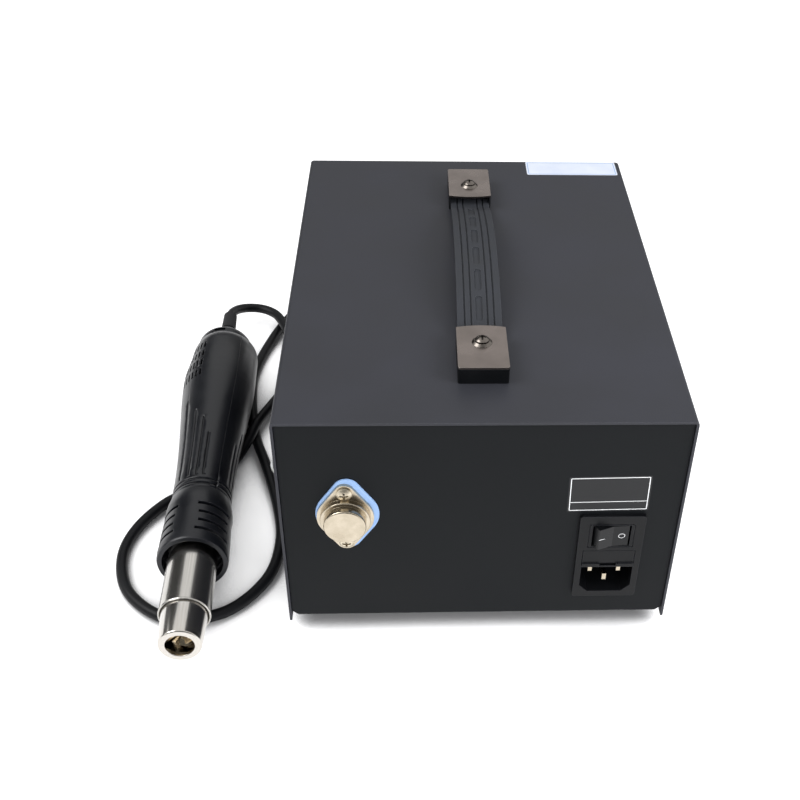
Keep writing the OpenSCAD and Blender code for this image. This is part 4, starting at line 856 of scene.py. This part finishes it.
def drawGunPiece(node, look):
    shape = mergedCopy(node)
    for vertex in shape.verts:
        vertex.co = drawnPoint(node, vertex.co, gunForm)
    name = node + "_drawn"
    piece = finishPiece(name, meshFrom(shape, name), "gun", look["slot"], made[look["finish"]])
    evened = piece.modifiers.new("Even Normals", "WEIGHTED_NORMAL")  # long strips keep straight reflections
    evened.keep_sharp = True
    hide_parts(node)


for node, look in gunPieces.items():
    drawGunPiece(node, look)
print("gun drawn")


# Screws with a cross recess, in place of the frame's plain ones

screwSets = {
    # Radius and height of the head and of the cup washer, the shank's radius, and the nut's radius, height
    # and distance below the head. A screw without a nut or a cup gets one too small to leave its shank
    "cover_screws": {"head": (3, 1.9), "shank": 1.5, "metal": "blackOxideSteel", "slot": "black_screws"},
    "foot_screws": {"head": (3, 1.9), "shank": 1.5, "metal": "zincPlatedSteel", "slot": "zinc_screws"},
    "holder_screws": {
        "head": (3.6, 2.5), "shank": 1.5, "nut": (3, 2.4, 1.2), "metal": "zincPlatedSteel",
        "slot": "zinc_screws",
    },
    "handle_screws": {
        "head": (3.2, 1.9), "shank": 2, "nut": (4, 2.4, 11.4), "cup": (4.8, 1.2), "metal": "darkNickelScrew",
        "slot": "cap_screws",
    },
    "transistor_screws": {
        "head": (3.5, 2.2), "shank": 1.5, "nut": (3, 2.4, 3.6), "metal": "satinNickelScrew",
        "slot": "transistor_can",
    },
    "gun_screws": {
        "head": (2.9, 1.9), "shank": 1.5, "metal": "blackOxideSteel", "slot": "black_screws", "body": "gun",
    },
}
noNut, noCup = (0.2, 0.2, 1), (0.2, 0.1)
screwAxes = {"foot_screws": (0, 0, -1), "handle_screws": (0, 0, 1), "transistor_screws": (0, 1, 0)}
gunScrewTurn = 217  # degrees round the gun, from its left over its top
# The dome's ball, the recess's length and width and twice its depth, as parts of the head, the cup's gap,
# and the sides of what is round
crossShape = {
    "ball": 1.4, "arm": 1.15, "thin": 0.26, "deep": 1.6, "cupGap": 0.3, "sides": 40, "rings": 24,
    "shankSides": 20,
}


def screwTree(look):
    inputs = {
        "Head Radius": "Float", "Head Height": "Float", "Shank Radius": "Float", "Shank Length": "Float",
        "Nut Radius": "Float", "Nut Height": "Float", "Nut Depth": "Float", "Cup Radius": "Float",
        "Cup Height": "Float", "Metal": "Material",
    }
    tree, given = startTree("crossScrew", inputs)

    def lifted(mesh, height):
        lift = addNode(tree, "ShaderNodeCombineXYZ", {2: height})
        return addNode(tree, "GeometryNodeTransform", {"Geometry": mesh, "Translation": lift})

    # Dome: what a ball and a short cylinder have in common
    radius, height = given["Head Radius"], given["Head Height"]
    ballRadius = addNode(tree, "ShaderNodeMath", {"operation": "MULTIPLY", 0: radius, 1: look["ball"]})
    ballLift = addNode(tree, "ShaderNodeMath", {"operation": "SUBTRACT", 0: height, 1: ballRadius})
    ball = addNode(tree, "GeometryNodeMeshUVSphere", {
        "Segments": look["sides"], "Rings": look["rings"], "Radius": ballRadius,
    })
    drumDepth = addNode(tree, "ShaderNodeMath", {"operation": "MULTIPLY", 0: height, 1: 2})
    drum = addNode(tree, "GeometryNodeMeshCylinder", {
        "Vertices": look["sides"], "Radius": radius, "Depth": drumDepth,
    })
    dome = addNode(tree, "GeometryNodeMeshBoolean", {"operation": "INTERSECT", "solver": "EXACT"})
    for mesh in (lifted(ball, ballLift), lifted(drum, height)):
        tree.links.new(mesh.outputs[0], dome.inputs["Mesh 2"])
    # Cross recess
    arm = addNode(tree, "ShaderNodeMath", {"operation": "MULTIPLY", 0: radius, 1: look["arm"]})
    thin = addNode(tree, "ShaderNodeMath", {"operation": "MULTIPLY", 0: radius, 1: look["thin"]})
    deep = addNode(tree, "ShaderNodeMath", {"operation": "MULTIPLY", 0: height, 1: look["deep"]})
    head = addNode(tree, "GeometryNodeMeshBoolean", {
        "operation": "DIFFERENCE", "solver": "EXACT", "Mesh 1": dome,
    })
    for width, length in ((arm, thin), (thin, arm)):
        size = addNode(tree, "ShaderNodeCombineXYZ", {0: width, 1: length, 2: deep})
        bar = lifted(addNode(tree, "GeometryNodeMeshCube", {"Size": size}), height)
        tree.links.new(bar.outputs[0], head.inputs["Mesh 2"])
    # Shank and nut, measured down from the seat
    shank = addNode(tree, "GeometryNodeMeshCylinder", {
        "Vertices": look["shankSides"], "Radius": given["Shank Radius"], "Depth": given["Shank Length"],
    })
    shankDown = addNode(tree, "ShaderNodeMath", {
        "operation": "MULTIPLY", 0: given["Shank Length"], 1: -0.5,
    })
    nut = addNode(tree, "GeometryNodeMeshCylinder", {
        "Vertices": 6, "Radius": given["Nut Radius"], "Depth": given["Nut Height"],
    })
    nutDown = addNode(tree, "ShaderNodeMath", {"operation": "MULTIPLY", 0: given["Nut Depth"], 1: -1})
    # Cup washer, open round the head
    cupTop = addNode(tree, "ShaderNodeMath", {
        "operation": "SUBTRACT", 0: given["Cup Radius"], 1: given["Cup Height"],
    })
    cup = addNode(tree, "GeometryNodeMeshCone", {
        "Vertices": look["sides"], "Radius Bottom": given["Cup Radius"], "Depth": given["Cup Height"],
        "Radius Top": cupTop,
    })
    cupDown = addNode(tree, "ShaderNodeMath", {"operation": "MULTIPLY", 0: given["Cup Height"], 1: -1})
    mouth = addNode(tree, "ShaderNodeMath", {"operation": "ADD", 0: radius, 1: look["cupGap"]})
    opening = addNode(tree, "GeometryNodeMeshCylinder", {
        "Vertices": look["sides"], "Radius": mouth, "Depth": 1,
    })
    ring = addNode(tree, "GeometryNodeMeshBoolean", {
        "operation": "DIFFERENCE", "solver": "EXACT", "Mesh 1": lifted(cup, cupDown), "Mesh 2": opening,
    })
    whole = addNode(tree, "GeometryNodeJoinGeometry")
    for part in (head, lifted(shank, shankDown), lifted(nut, nutDown), ring):
        tree.links.new(part.outputs[0], whole.inputs[0])
    axis = addNode(tree, "GeometryNodeInputNamedAttribute", {"data_type": "FLOAT_VECTOR", "Name": "axis"})
    turn = addNode(tree, "FunctionNodeAlignRotationToVector", {"axis": "Z", "Vector": axis})
    screws = addNode(tree, "GeometryNodeInstanceOnPoints", {
        "Points": given["Geometry"], "Instance": whole, "Rotation": turn, "Scale": (mm, mm, mm),
    })
    endTree(tree, screws, given["Metal"])
    return tree


def solidParts(node):  # the corners of each separate solid of a frame piece
    shape = mergedCopy(node)
    left = set(shape.verts)
    parts = []
    while left:
        front = [left.pop()]
        found = []
        while front:
            vertex = front.pop()
            found.append(vertex.co.copy())
            for edge in vertex.link_edges:
                other = edge.other_vert(vertex)
                if other in left:
                    left.remove(other)
                    front.append(other)
        parts.append(found)
    shape.free()
    return parts


def middleOf(corners, across):  # middle of the corners, measured along these directions
    spans = [[corner.dot(direction) for corner in corners] for direction in across]
    return sum((direction * (max(s) + min(s)) / 2 for direction, s in zip(across, spans)), Vector())


def outward(node, corners):
    middle = sum(corners, Vector()) / len(corners)
    if node in ("cover_screws", "holder_screws"):
        return Vector((1 if middle.x > caseMiddle.x else -1, 0, 0))
    if node == "gun_screws":
        turn = math.radians(gunScrewTurn)
        return gunLeft * math.cos(turn) + gunUp * math.sin(turn)
    return Vector(screwAxes[node])


def makeScrews(tree, node, look):
    seats, axes, lengths = [], [], []
    for corners in solidParts(node):
        axis = outward(node, corners)
        side = (gunBack if node == "gun_screws" else axis.orthogonal()).normalized()
        over = axis.cross(side)
        top = max(corner.dot(axis) for corner in corners)
        low = min(corner.dot(axis) for corner in corners)
        seat = middleOf(corners, (side, over)) + axis * (top - look["head"][1] * mm)
        seats.append(drawnPoint(node, seat, gunForm) if node == "gun_screws" else seat)
        axes.append(axis)
        lengths.append((top - low) / mm - look["head"][1])
    nut = look.get("nut", noNut)
    cup = look.get("cup", noCup)
    values = {
        "Head Radius": float(look["head"][0]), "Head Height": float(look["head"][1]),
        "Shank Radius": float(look["shank"]), "Shank Length": float(min(lengths)),
        "Nut Radius": float(nut[0]), "Nut Height": float(nut[1]), "Nut Depth": float(nut[2] + nut[1] / 2),
        "Cup Radius": float(cup[0]), "Cup Height": float(cup[1]), "Metal": made[look["metal"]],
    }
    points = seatPoints(node, seats, axes)
    piece = growTree(tree, node + "_crossed", points, values, look.get("body", "case"), look["slot"])
    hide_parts(node)


crossScrew = screwTree(crossShape)
for node, look in screwSets.items():
    makeScrews(crossScrew, node, look)
print("screws made")


# Nozzle: a spun tube, a little narrower at its mouth, whose root leaves a narrow step at the barrel's lip

nozzleShape = {
    "mouth": 6.8, "mouthEdge": 0.4, "front": 10.1, "frontEdge": 0.9, "root": 11.2, "rootAt": 18.7,
    "seat": 20.6, "sleeve": 10, "wall": 0.58, "sides": 96, "arc": 6,
}


def turnedMesh(name, outline, sides, origin, axes):  # closed outline of (along, radius) turned about the axis
    shape = bmesh.new()
    rings = []
    for i in range(sides):
        turn = 2 * math.pi * i / sides
        rings.append([
            shape.verts.new(origin + axes @ Vector((r * math.cos(turn), r * math.sin(turn), along)) * mm)
            for along, r in outline
        ])
    for i, ring in enumerate(rings):
        after = rings[(i + 1) % sides]
        for k in range(len(outline)):
            following = (k + 1) % len(outline)
            shape.faces.new((ring[k], ring[following], after[following], after[k]))
    bmesh.ops.recalc_face_normals(shape, faces=shape.faces)
    return meshFrom(shape, name)


def makeNozzle(look):
    turns = [math.pi / 2 * i / look["arc"] for i in range(look["arc"] + 1)]
    soft, rim = look["mouthEdge"], look["frontEdge"]
    back = (reach("gun_nozzle", gunBack) - nozzleFace.dot(gunBack)) / mm
    inside = look["sleeve"] - look["wall"]
    outline = [(soft * (1 - math.sin(t)), look["mouth"] + soft * (1 - math.cos(t))) for t in turns]
    outline += [(rim * (1 - math.cos(t)), look["front"] - rim * (1 - math.sin(t))) for t in turns]
    front = look["wall"] + soft
    outline += [
        (look["rootAt"], look["root"]), (look["seat"], look["root"]), (look["seat"], look["sleeve"]),
        (back, look["sleeve"]), (back, inside), (front, inside), (front, look["mouth"]),
    ]
    mesh = turnedMesh("gun_nozzle_spun", outline, look["sides"], nozzleFace, gunTurn)
    nozzle = finishPiece("gun_nozzle_spun", mesh, "nozzle", "nozzle_steel", made["polishedStainless"])
    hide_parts("gun_nozzle")


makeNozzle(nozzleShape)
print("nozzle spun")


# Printed and stuck marks: thin films laid on the faces of the frame

frontFace = {"right": (1, 0, 0), "up": (0, 0, 1)}
rearFace = {"right": (-1, 0, 0), "up": (0, 0, 1)}
topFace = {"right": (-1, 0, 0), "up": (0, -1, 0)}
faceReach = 0.3  # metres outside its face, where each mark starts its way down to it
filmLift, inkLift = 0.08, 0.11  # of a stuck film, and of the print on it, above the face


def faceTree(node):
    mesh = nodes[node].data
    corners = [vertex.co.copy() for vertex in mesh.vertices]
    return BVHTree.FromPolygons(corners, [tuple(polygon.vertices) for polygon in mesh.polygons])


def boxFace(x, y, width, height):
    return [(x + u, y + v) for u, v in rectangle(width, height)]


def roundBox(x, y, width, height, corner, steps=5):
    points = []
    for k, (sx, sy) in enumerate(((1, 1), (-1, 1), (-1, -1), (1, -1))):
        for i in range(steps + 1):
            turn = math.radians(90 * (k + i / steps))
            points.append((
                x + sx * (width / 2 - corner) + corner * math.cos(turn),
                y + sy * (height / 2 - corner) + corner * math.sin(turn),
            ))
    return points


def ringFaces(outer, inner):  # quads between two outlines of as many points
    count = len(outer)
    return [[outer[i], outer[(i + 1) % count], inner[(i + 1) % count], inner[i]] for i in range(count)]


sharpest = 0.01  # radius that a border's inner corner keeps


def borderFaces(x, y, width, height, corner, line):
    return ringFaces(
        roundBox(x, y, width, height, corner),
        roundBox(x, y, width - 2 * line, height - 2 * line, max(corner - line, sharpest)),
    )


def ovalFaces(x, y, width, height, line, steps=32):
    def oval(w, h):
        turns = [2 * math.pi * i / steps for i in range(steps)]
        return [(x + w / 2 * math.cos(t), y + h / 2 * math.sin(t)) for t in turns]

    return ringFaces(oval(width, height), oval(width - 2 * line, height - 2 * line))


capHeight = 0.7  # of a number, as a part of its font's size


def writtenFaces(text, x, y, height):  # plain numbers, centred on the point
    data = bpy.data.curves.new("written", "FONT")
    data.body = text
    data.size = height / capHeight
    data.align_x, data.align_y = "CENTER", "CENTER"
    data.resolution_u = 3
    mesh = finalMesh(newObject("written", data))
    places = [(x + vertex.co.x, y + vertex.co.y) for vertex in mesh.vertices]
    faces = [[places[i] for i in face.vertices] for face in mesh.polygons]
    bpy.data.meshes.remove(mesh)
    return faces


def layMarks(name, faces, face, node, origin, material, lift, body="case", slot=None, turn=0):
    right, up = Vector(face["right"]), Vector(face["up"])
    tilt = Matrix.Rotation(math.radians(turn), 3, right.cross(up))
    right, up = tilt @ right, tilt @ up
    out = right.cross(up)
    tree = faceTree(node)
    middle = spot(*origin)
    shape = bmesh.new()
    for outline in faces:
        corners = []
        for x, y in outline:
            start = middle + (right * x + up * y) * mm
            hit = tree.ray_cast(start + out * faceReach, -out)[0]
            corners.append(shape.verts.new((hit or start) + out * lift * mm))
        shape.faces.new(corners)
    bmesh.ops.remove_doubles(shape, verts=shape.verts, dist=0.001 * mm)
    shape.normal_update()
    for polygon in shape.faces:
        if polygon.normal.dot(out) < 0:
            polygon.normal_flip()
    return finishPiece(name, meshFrom(shape, name), body, slot, material, smooth=0)


# Blank sticker on top: pale vinyl with a thin line round it

sticker = {
    "size": (54.4, 16.8), "corner": 1.2, "line": 0.35, "lineCorner": 0.72, "inset": 0.9,
    "at": (-63.3, -115.9, 134.5),
}


def makeSticker(look):
    inner = [side - 2 * look["inset"] for side in look["size"]]
    film = [roundBox(0, 0, *look["size"], look["corner"])]
    line = borderFaces(0, 0, *inner, look["lineCorner"], look["line"])
    layMarks("top_sticker", film, topFace, "cover", look["at"], made["vinylSticker"], filmLift)
    layMarks("top_sticker_line", line, topFace, "cover", look["at"], made["blueInk"], inkLift)


# Blank rating plate on the rear: black film with a white border and one divider

ratingPlate = {  # split: the divider's height, as a part of the plate's
    "size": (36.5, 20.2), "margin": 0.8, "corner": 1.0, "line": 0.42, "lineCorner": 0.5, "divider": 0.34,
    "split": 0.26, "turn": 1.0, "at": (-58.1, 124.5, 91.25),
}


def makeRatingPlate(look):
    width, height = look["size"]
    margin, turn = look["margin"], look["turn"]
    film = [roundBox(0, 0, width + 2 * margin, height + 2 * margin, look["corner"])]
    lines = borderFaces(0, 0, width, height, look["lineCorner"], look["line"])
    lines.append(boxFace(0, height * (look["split"] - 0.5), width - look["line"], look["divider"]))
    at = look["at"]
    layMarks("rating_plate", film, rearFace, "chassis", at, made["blackLabel"], filmLift, turn=turn)
    layMarks("rating_plate_lines", lines, rearFace, "chassis", at, made["whitePrint"], inkLift, turn=turn)


# I and O on the four rockers, each on the half that it switches to

rockerMarks = {"reach": 0.27, "dash": (2.8, 0.3), "ring": (3.3, 2.9), "line": 0.26, "lift": 0.05}
rockers = {
    "power_rocker": {"body": "power_switch", "face": rearFace, "width": 18.2, "slot": "rocker_black"},
    "rocker_air": {"body": "air_switch", "face": frontFace, "width": 19, "slot": "rocker_red"},
    "rocker_iron": {"body": "iron_switch", "face": frontFace, "width": 19, "slot": "rocker_red"},
    "rocker_supply": {"body": "supply_switch", "face": frontFace, "width": 19, "slot": "rocker_red"},
}


def makeRockerMarks(node, rocker, look):
    low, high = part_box(node)
    middle = (low + high) / 2 - caseMiddle
    away = look["reach"] * rocker["width"]
    marks = [boxFace(-away, 0, *look["dash"])] + ovalFaces(away, 0, *look["ring"], look["line"])
    layMarks(
        node + "_marks", marks, rocker["face"], node, tuple(middle / mm), made["whitePrint"], look["lift"],
        rocker["body"], rocker["slot"],
    )


# Front panel: a thin line round each group, scales and numbers round the knobs, signs by the posts

frontPlane = -124.3
# outline: width, height and corner; tick: inner and outer radius and width; pointer: width and length
panel = {
    "groups": (-60, 0, 60), "outline": (57.5, 108, 3), "outlineHeight": 71, "line": 0.4, "lift": 0.03,
    "knobs": {
        "air_flow_knob": 46, "air_heat_knob": 74, "iron_heat_knob": 0, "volts_knob": -46, "amps_knob": -74,
    },
    "knobHeight": 83, "numberReach": 12.4, "numberHeight": 1.7, "numberStep": 2, "sweep": 300, "ticks": 11,
    "tick": (9.3, 10.6, 0.35), "pointer": (0.7, 5), "pointerReach": 5, "pointerLift": 0.12,
    "knobFace": -138.6, "plusAt": -69.5, "minusAt": -50.5, "signHeight": 40.5, "sign": 2.6, "signLine": 0.5,
}


def makePanelPrint(look):
    lines = []
    for x in look["groups"]:
        width, height, corner = look["outline"]
        lines += borderFaces(x, look["outlineHeight"], width, height, corner, look["line"])
    for x in look["knobs"].values():
        for i in range(0, look["ticks"], look["numberStep"]):
            turn = math.radians(look["sweep"] * (i / (look["ticks"] - 1) - 0.5))
            lines += writtenFaces(
                str(i), x + look["numberReach"] * math.sin(turn),
                look["knobHeight"] + look["numberReach"] * math.cos(turn), look["numberHeight"],
            )
    size, line, high = look["sign"], look["signLine"], look["signHeight"]
    lines += [boxFace(x, high, size, line) for x in (look["plusAt"], look["minusAt"])]
    for side in (1, -1):
        lines.append(boxFace(look["plusAt"], high + side * (size + line) / 4, line, (size - line) / 2))
    origin = (0, frontPlane, 0)
    layMarks("panel_print", lines, frontFace, "front_overlay", origin, made["whitePrint"], look["lift"])


def tickTree():
    inputs = {
        "Ticks": "Int", "Sweep": "Float", "Reach": "Float", "Length": "Float", "Width": "Float",
        "Ink": "Material",
    }
    tree, given = startTree("dialScale", inputs)
    spaces = addNode(tree, "ShaderNodeMath", {"operation": "SUBTRACT", 0: given["Ticks"], 1: 1})
    index = addNode(tree, "GeometryNodeInputIndex")
    share = addNode(tree, "ShaderNodeMath", {"operation": "DIVIDE", 0: index, 1: spaces})
    fromTop = addNode(tree, "ShaderNodeMath", {"operation": "SUBTRACT", 0: share, 1: 0.5})
    turn = addNode(tree, "ShaderNodeMath", {"operation": "MULTIPLY", 0: given["Sweep"], 1: fromTop})
    place = addNode(tree, "ShaderNodeCombineXYZ")
    for i, operation in enumerate(("SINE", "COSINE")):
        part = addNode(tree, "ShaderNodeMath", {"operation": operation, 0: turn})
        side = addNode(tree, "ShaderNodeMath", {"operation": "MULTIPLY", 0: given["Reach"], 1: part})
        tree.links.new(side.outputs[0], place.inputs[i])
    seats = addNode(tree, "GeometryNodePoints", {"Count": given["Ticks"], "Position": place})
    mark = addNode(tree, "GeometryNodeMeshGrid", {
        "Vertices X": 2, "Vertices Y": 2, "Size X": given["Width"], "Size Y": given["Length"],
    })
    back = addNode(tree, "ShaderNodeMath", {"operation": "MULTIPLY", 0: turn, 1: -1})
    lean = addNode(tree, "ShaderNodeCombineXYZ", {2: back})
    scale = addNode(tree, "GeometryNodeInstanceOnPoints", {
        "Points": seats, "Instance": mark, "Rotation": lean,
    })
    dials = addNode(tree, "GeometryNodeInstanceOnPoints", {
        "Points": given["Geometry"], "Instance": scale, "Rotation": (math.pi / 2, 0, 0),
        "Scale": (mm, mm, mm),
    })
    endTree(tree, dials, given["Ink"])
    return tree


def makeDialScales(look):
    inner, outer, width = look["tick"]
    seats = [spot(x, frontPlane - look["lift"], look["knobHeight"]) for x in look["knobs"].values()]
    values = {
        "Ticks": look["ticks"], "Sweep": math.radians(look["sweep"]), "Reach": (inner + outer) / 2,
        "Length": outer - inner, "Width": width, "Ink": made["whitePrint"],
    }
    points = seatPoints("dialSeats", seats)
    growTree(tickTree(), "dial_scales", points, values, "case", "front_film", smooth=0)


def makePointers(look):
    line = [boxFace(0, look["pointerReach"], *look["pointer"])]
    for body, x in look["knobs"].items():
        node = "knob_" + body.replace("_knob", "")
        origin = (x, look["knobFace"], look["knobHeight"])
        layMarks(
            node + "_line", line, frontFace, node, origin, made["whitePrint"], look["pointerLift"], body,
            "knob_plastic",
        )


# Unlit seven-segment digits behind the red windows

digits = {  # lean in degrees
    "windows": (-60, 0, 60), "height": 110, "pitch": 11, "places": (-1, 0, 1), "segment": 5.4, "thick": 1.3,
    "gap": 0.5, "lean": 8, "lift": 0.05,
}
hexagonHalf = 0.577  # brings a hexagon's corners, 0.866 from its middle line, to half a segment's thickness


def segmentTree():
    tree, given = startTree("digitSegments", {"Length": "Float", "Thick": "Float", "Ink": "Material"})
    hexagon = addNode(tree, "GeometryNodeMeshCircle", {"fill_type": "NGON", "Vertices": 6, "Radius": 1})
    place = addNode(tree, "GeometryNodeInputPosition")
    x, y = addNode(tree, "ShaderNodeSeparateXYZ", {0: place}).outputs[:2]
    # Along: half the straight part and the point past it, to the corner's own side
    size = addNode(tree, "ShaderNodeMath", {"operation": "ABSOLUTE", 0: x})
    point = addNode(tree, "ShaderNodeMath", {"operation": "SUBTRACT", 0: size, 1: 0.5})
    past = addNode(tree, "ShaderNodeMath", {"operation": "MULTIPLY", 0: point, 1: given["Thick"]})
    straight = addNode(tree, "ShaderNodeMath", {
        "operation": "SUBTRACT", 0: given["Length"], 1: given["Thick"],
    })
    flat = addNode(tree, "ShaderNodeMath", {"operation": "MULTIPLY", 0: straight, 1: 0.5})
    reached = addNode(tree, "ShaderNodeMath", {"operation": "ADD", 0: past, 1: flat})
    side = addNode(tree, "ShaderNodeMath", {"operation": "SIGN", 0: x})
    along = addNode(tree, "ShaderNodeMath", {"operation": "MULTIPLY", 0: reached, 1: side})
    half = addNode(tree, "ShaderNodeMath", {"operation": "MULTIPLY", 0: given["Thick"], 1: hexagonHalf})
    across = addNode(tree, "ShaderNodeMath", {"operation": "MULTIPLY", 0: y, 1: half})
    moved = addNode(tree, "ShaderNodeCombineXYZ", {0: along, 1: across})
    bar = addNode(tree, "GeometryNodeSetPosition", {"Geometry": hexagon, "Position": moved})
    turn = addNode(tree, "GeometryNodeInputNamedAttribute", {"data_type": "FLOAT_VECTOR", "Name": "axis"})
    bars = addNode(tree, "GeometryNodeInstanceOnPoints", {
        "Points": given["Geometry"], "Instance": bar, "Rotation": turn, "Scale": (mm, mm, mm),
    })
    endTree(tree, bars, given["Ink"])
    return tree


def makeDigits(look):
    step = look["segment"] + look["gap"]
    slant = math.tan(math.radians(look["lean"]))
    steep = 90 - look["lean"]
    bars = [(0, 1, 0), (0, 0, 0), (0, -1, 0)] + [(x, y, steep) for x in (-0.5, 0.5) for y in (-0.5, 0.5)]
    face = min(vertex.co.y for vertex in nodes["display_modules"].data.vertices) - look["lift"] * mm
    seats, turns = [], []
    for window in look["windows"]:
        for place in look["places"]:
            for x, y, turn in bars:
                across = window + place * look["pitch"] + (x + y * slant) * step
                at = spot(across, 0, look["height"] + y * step)
                seats.append(Vector((at.x, face, at.z)))
                turns.append((math.pi / 2, math.radians(-turn), 0))
    values = {"Length": look["segment"], "Thick": look["thick"], "Ink": made["unlitSegment"]}
    points = seatPoints("digitSeats", seats, turns)
    growTree(segmentTree(), "display_digits", points, values, "case", "module_black", smooth=0)


makeSticker(sticker)
makeRatingPlate(ratingPlate)
for node, rocker in rockers.items():
    makeRockerMarks(node, rocker, rockerMarks)
makePanelPrint(panel)
makeDialScales(panel)
makePointers(panel)
makeDigits(digits)
print("marks laid")
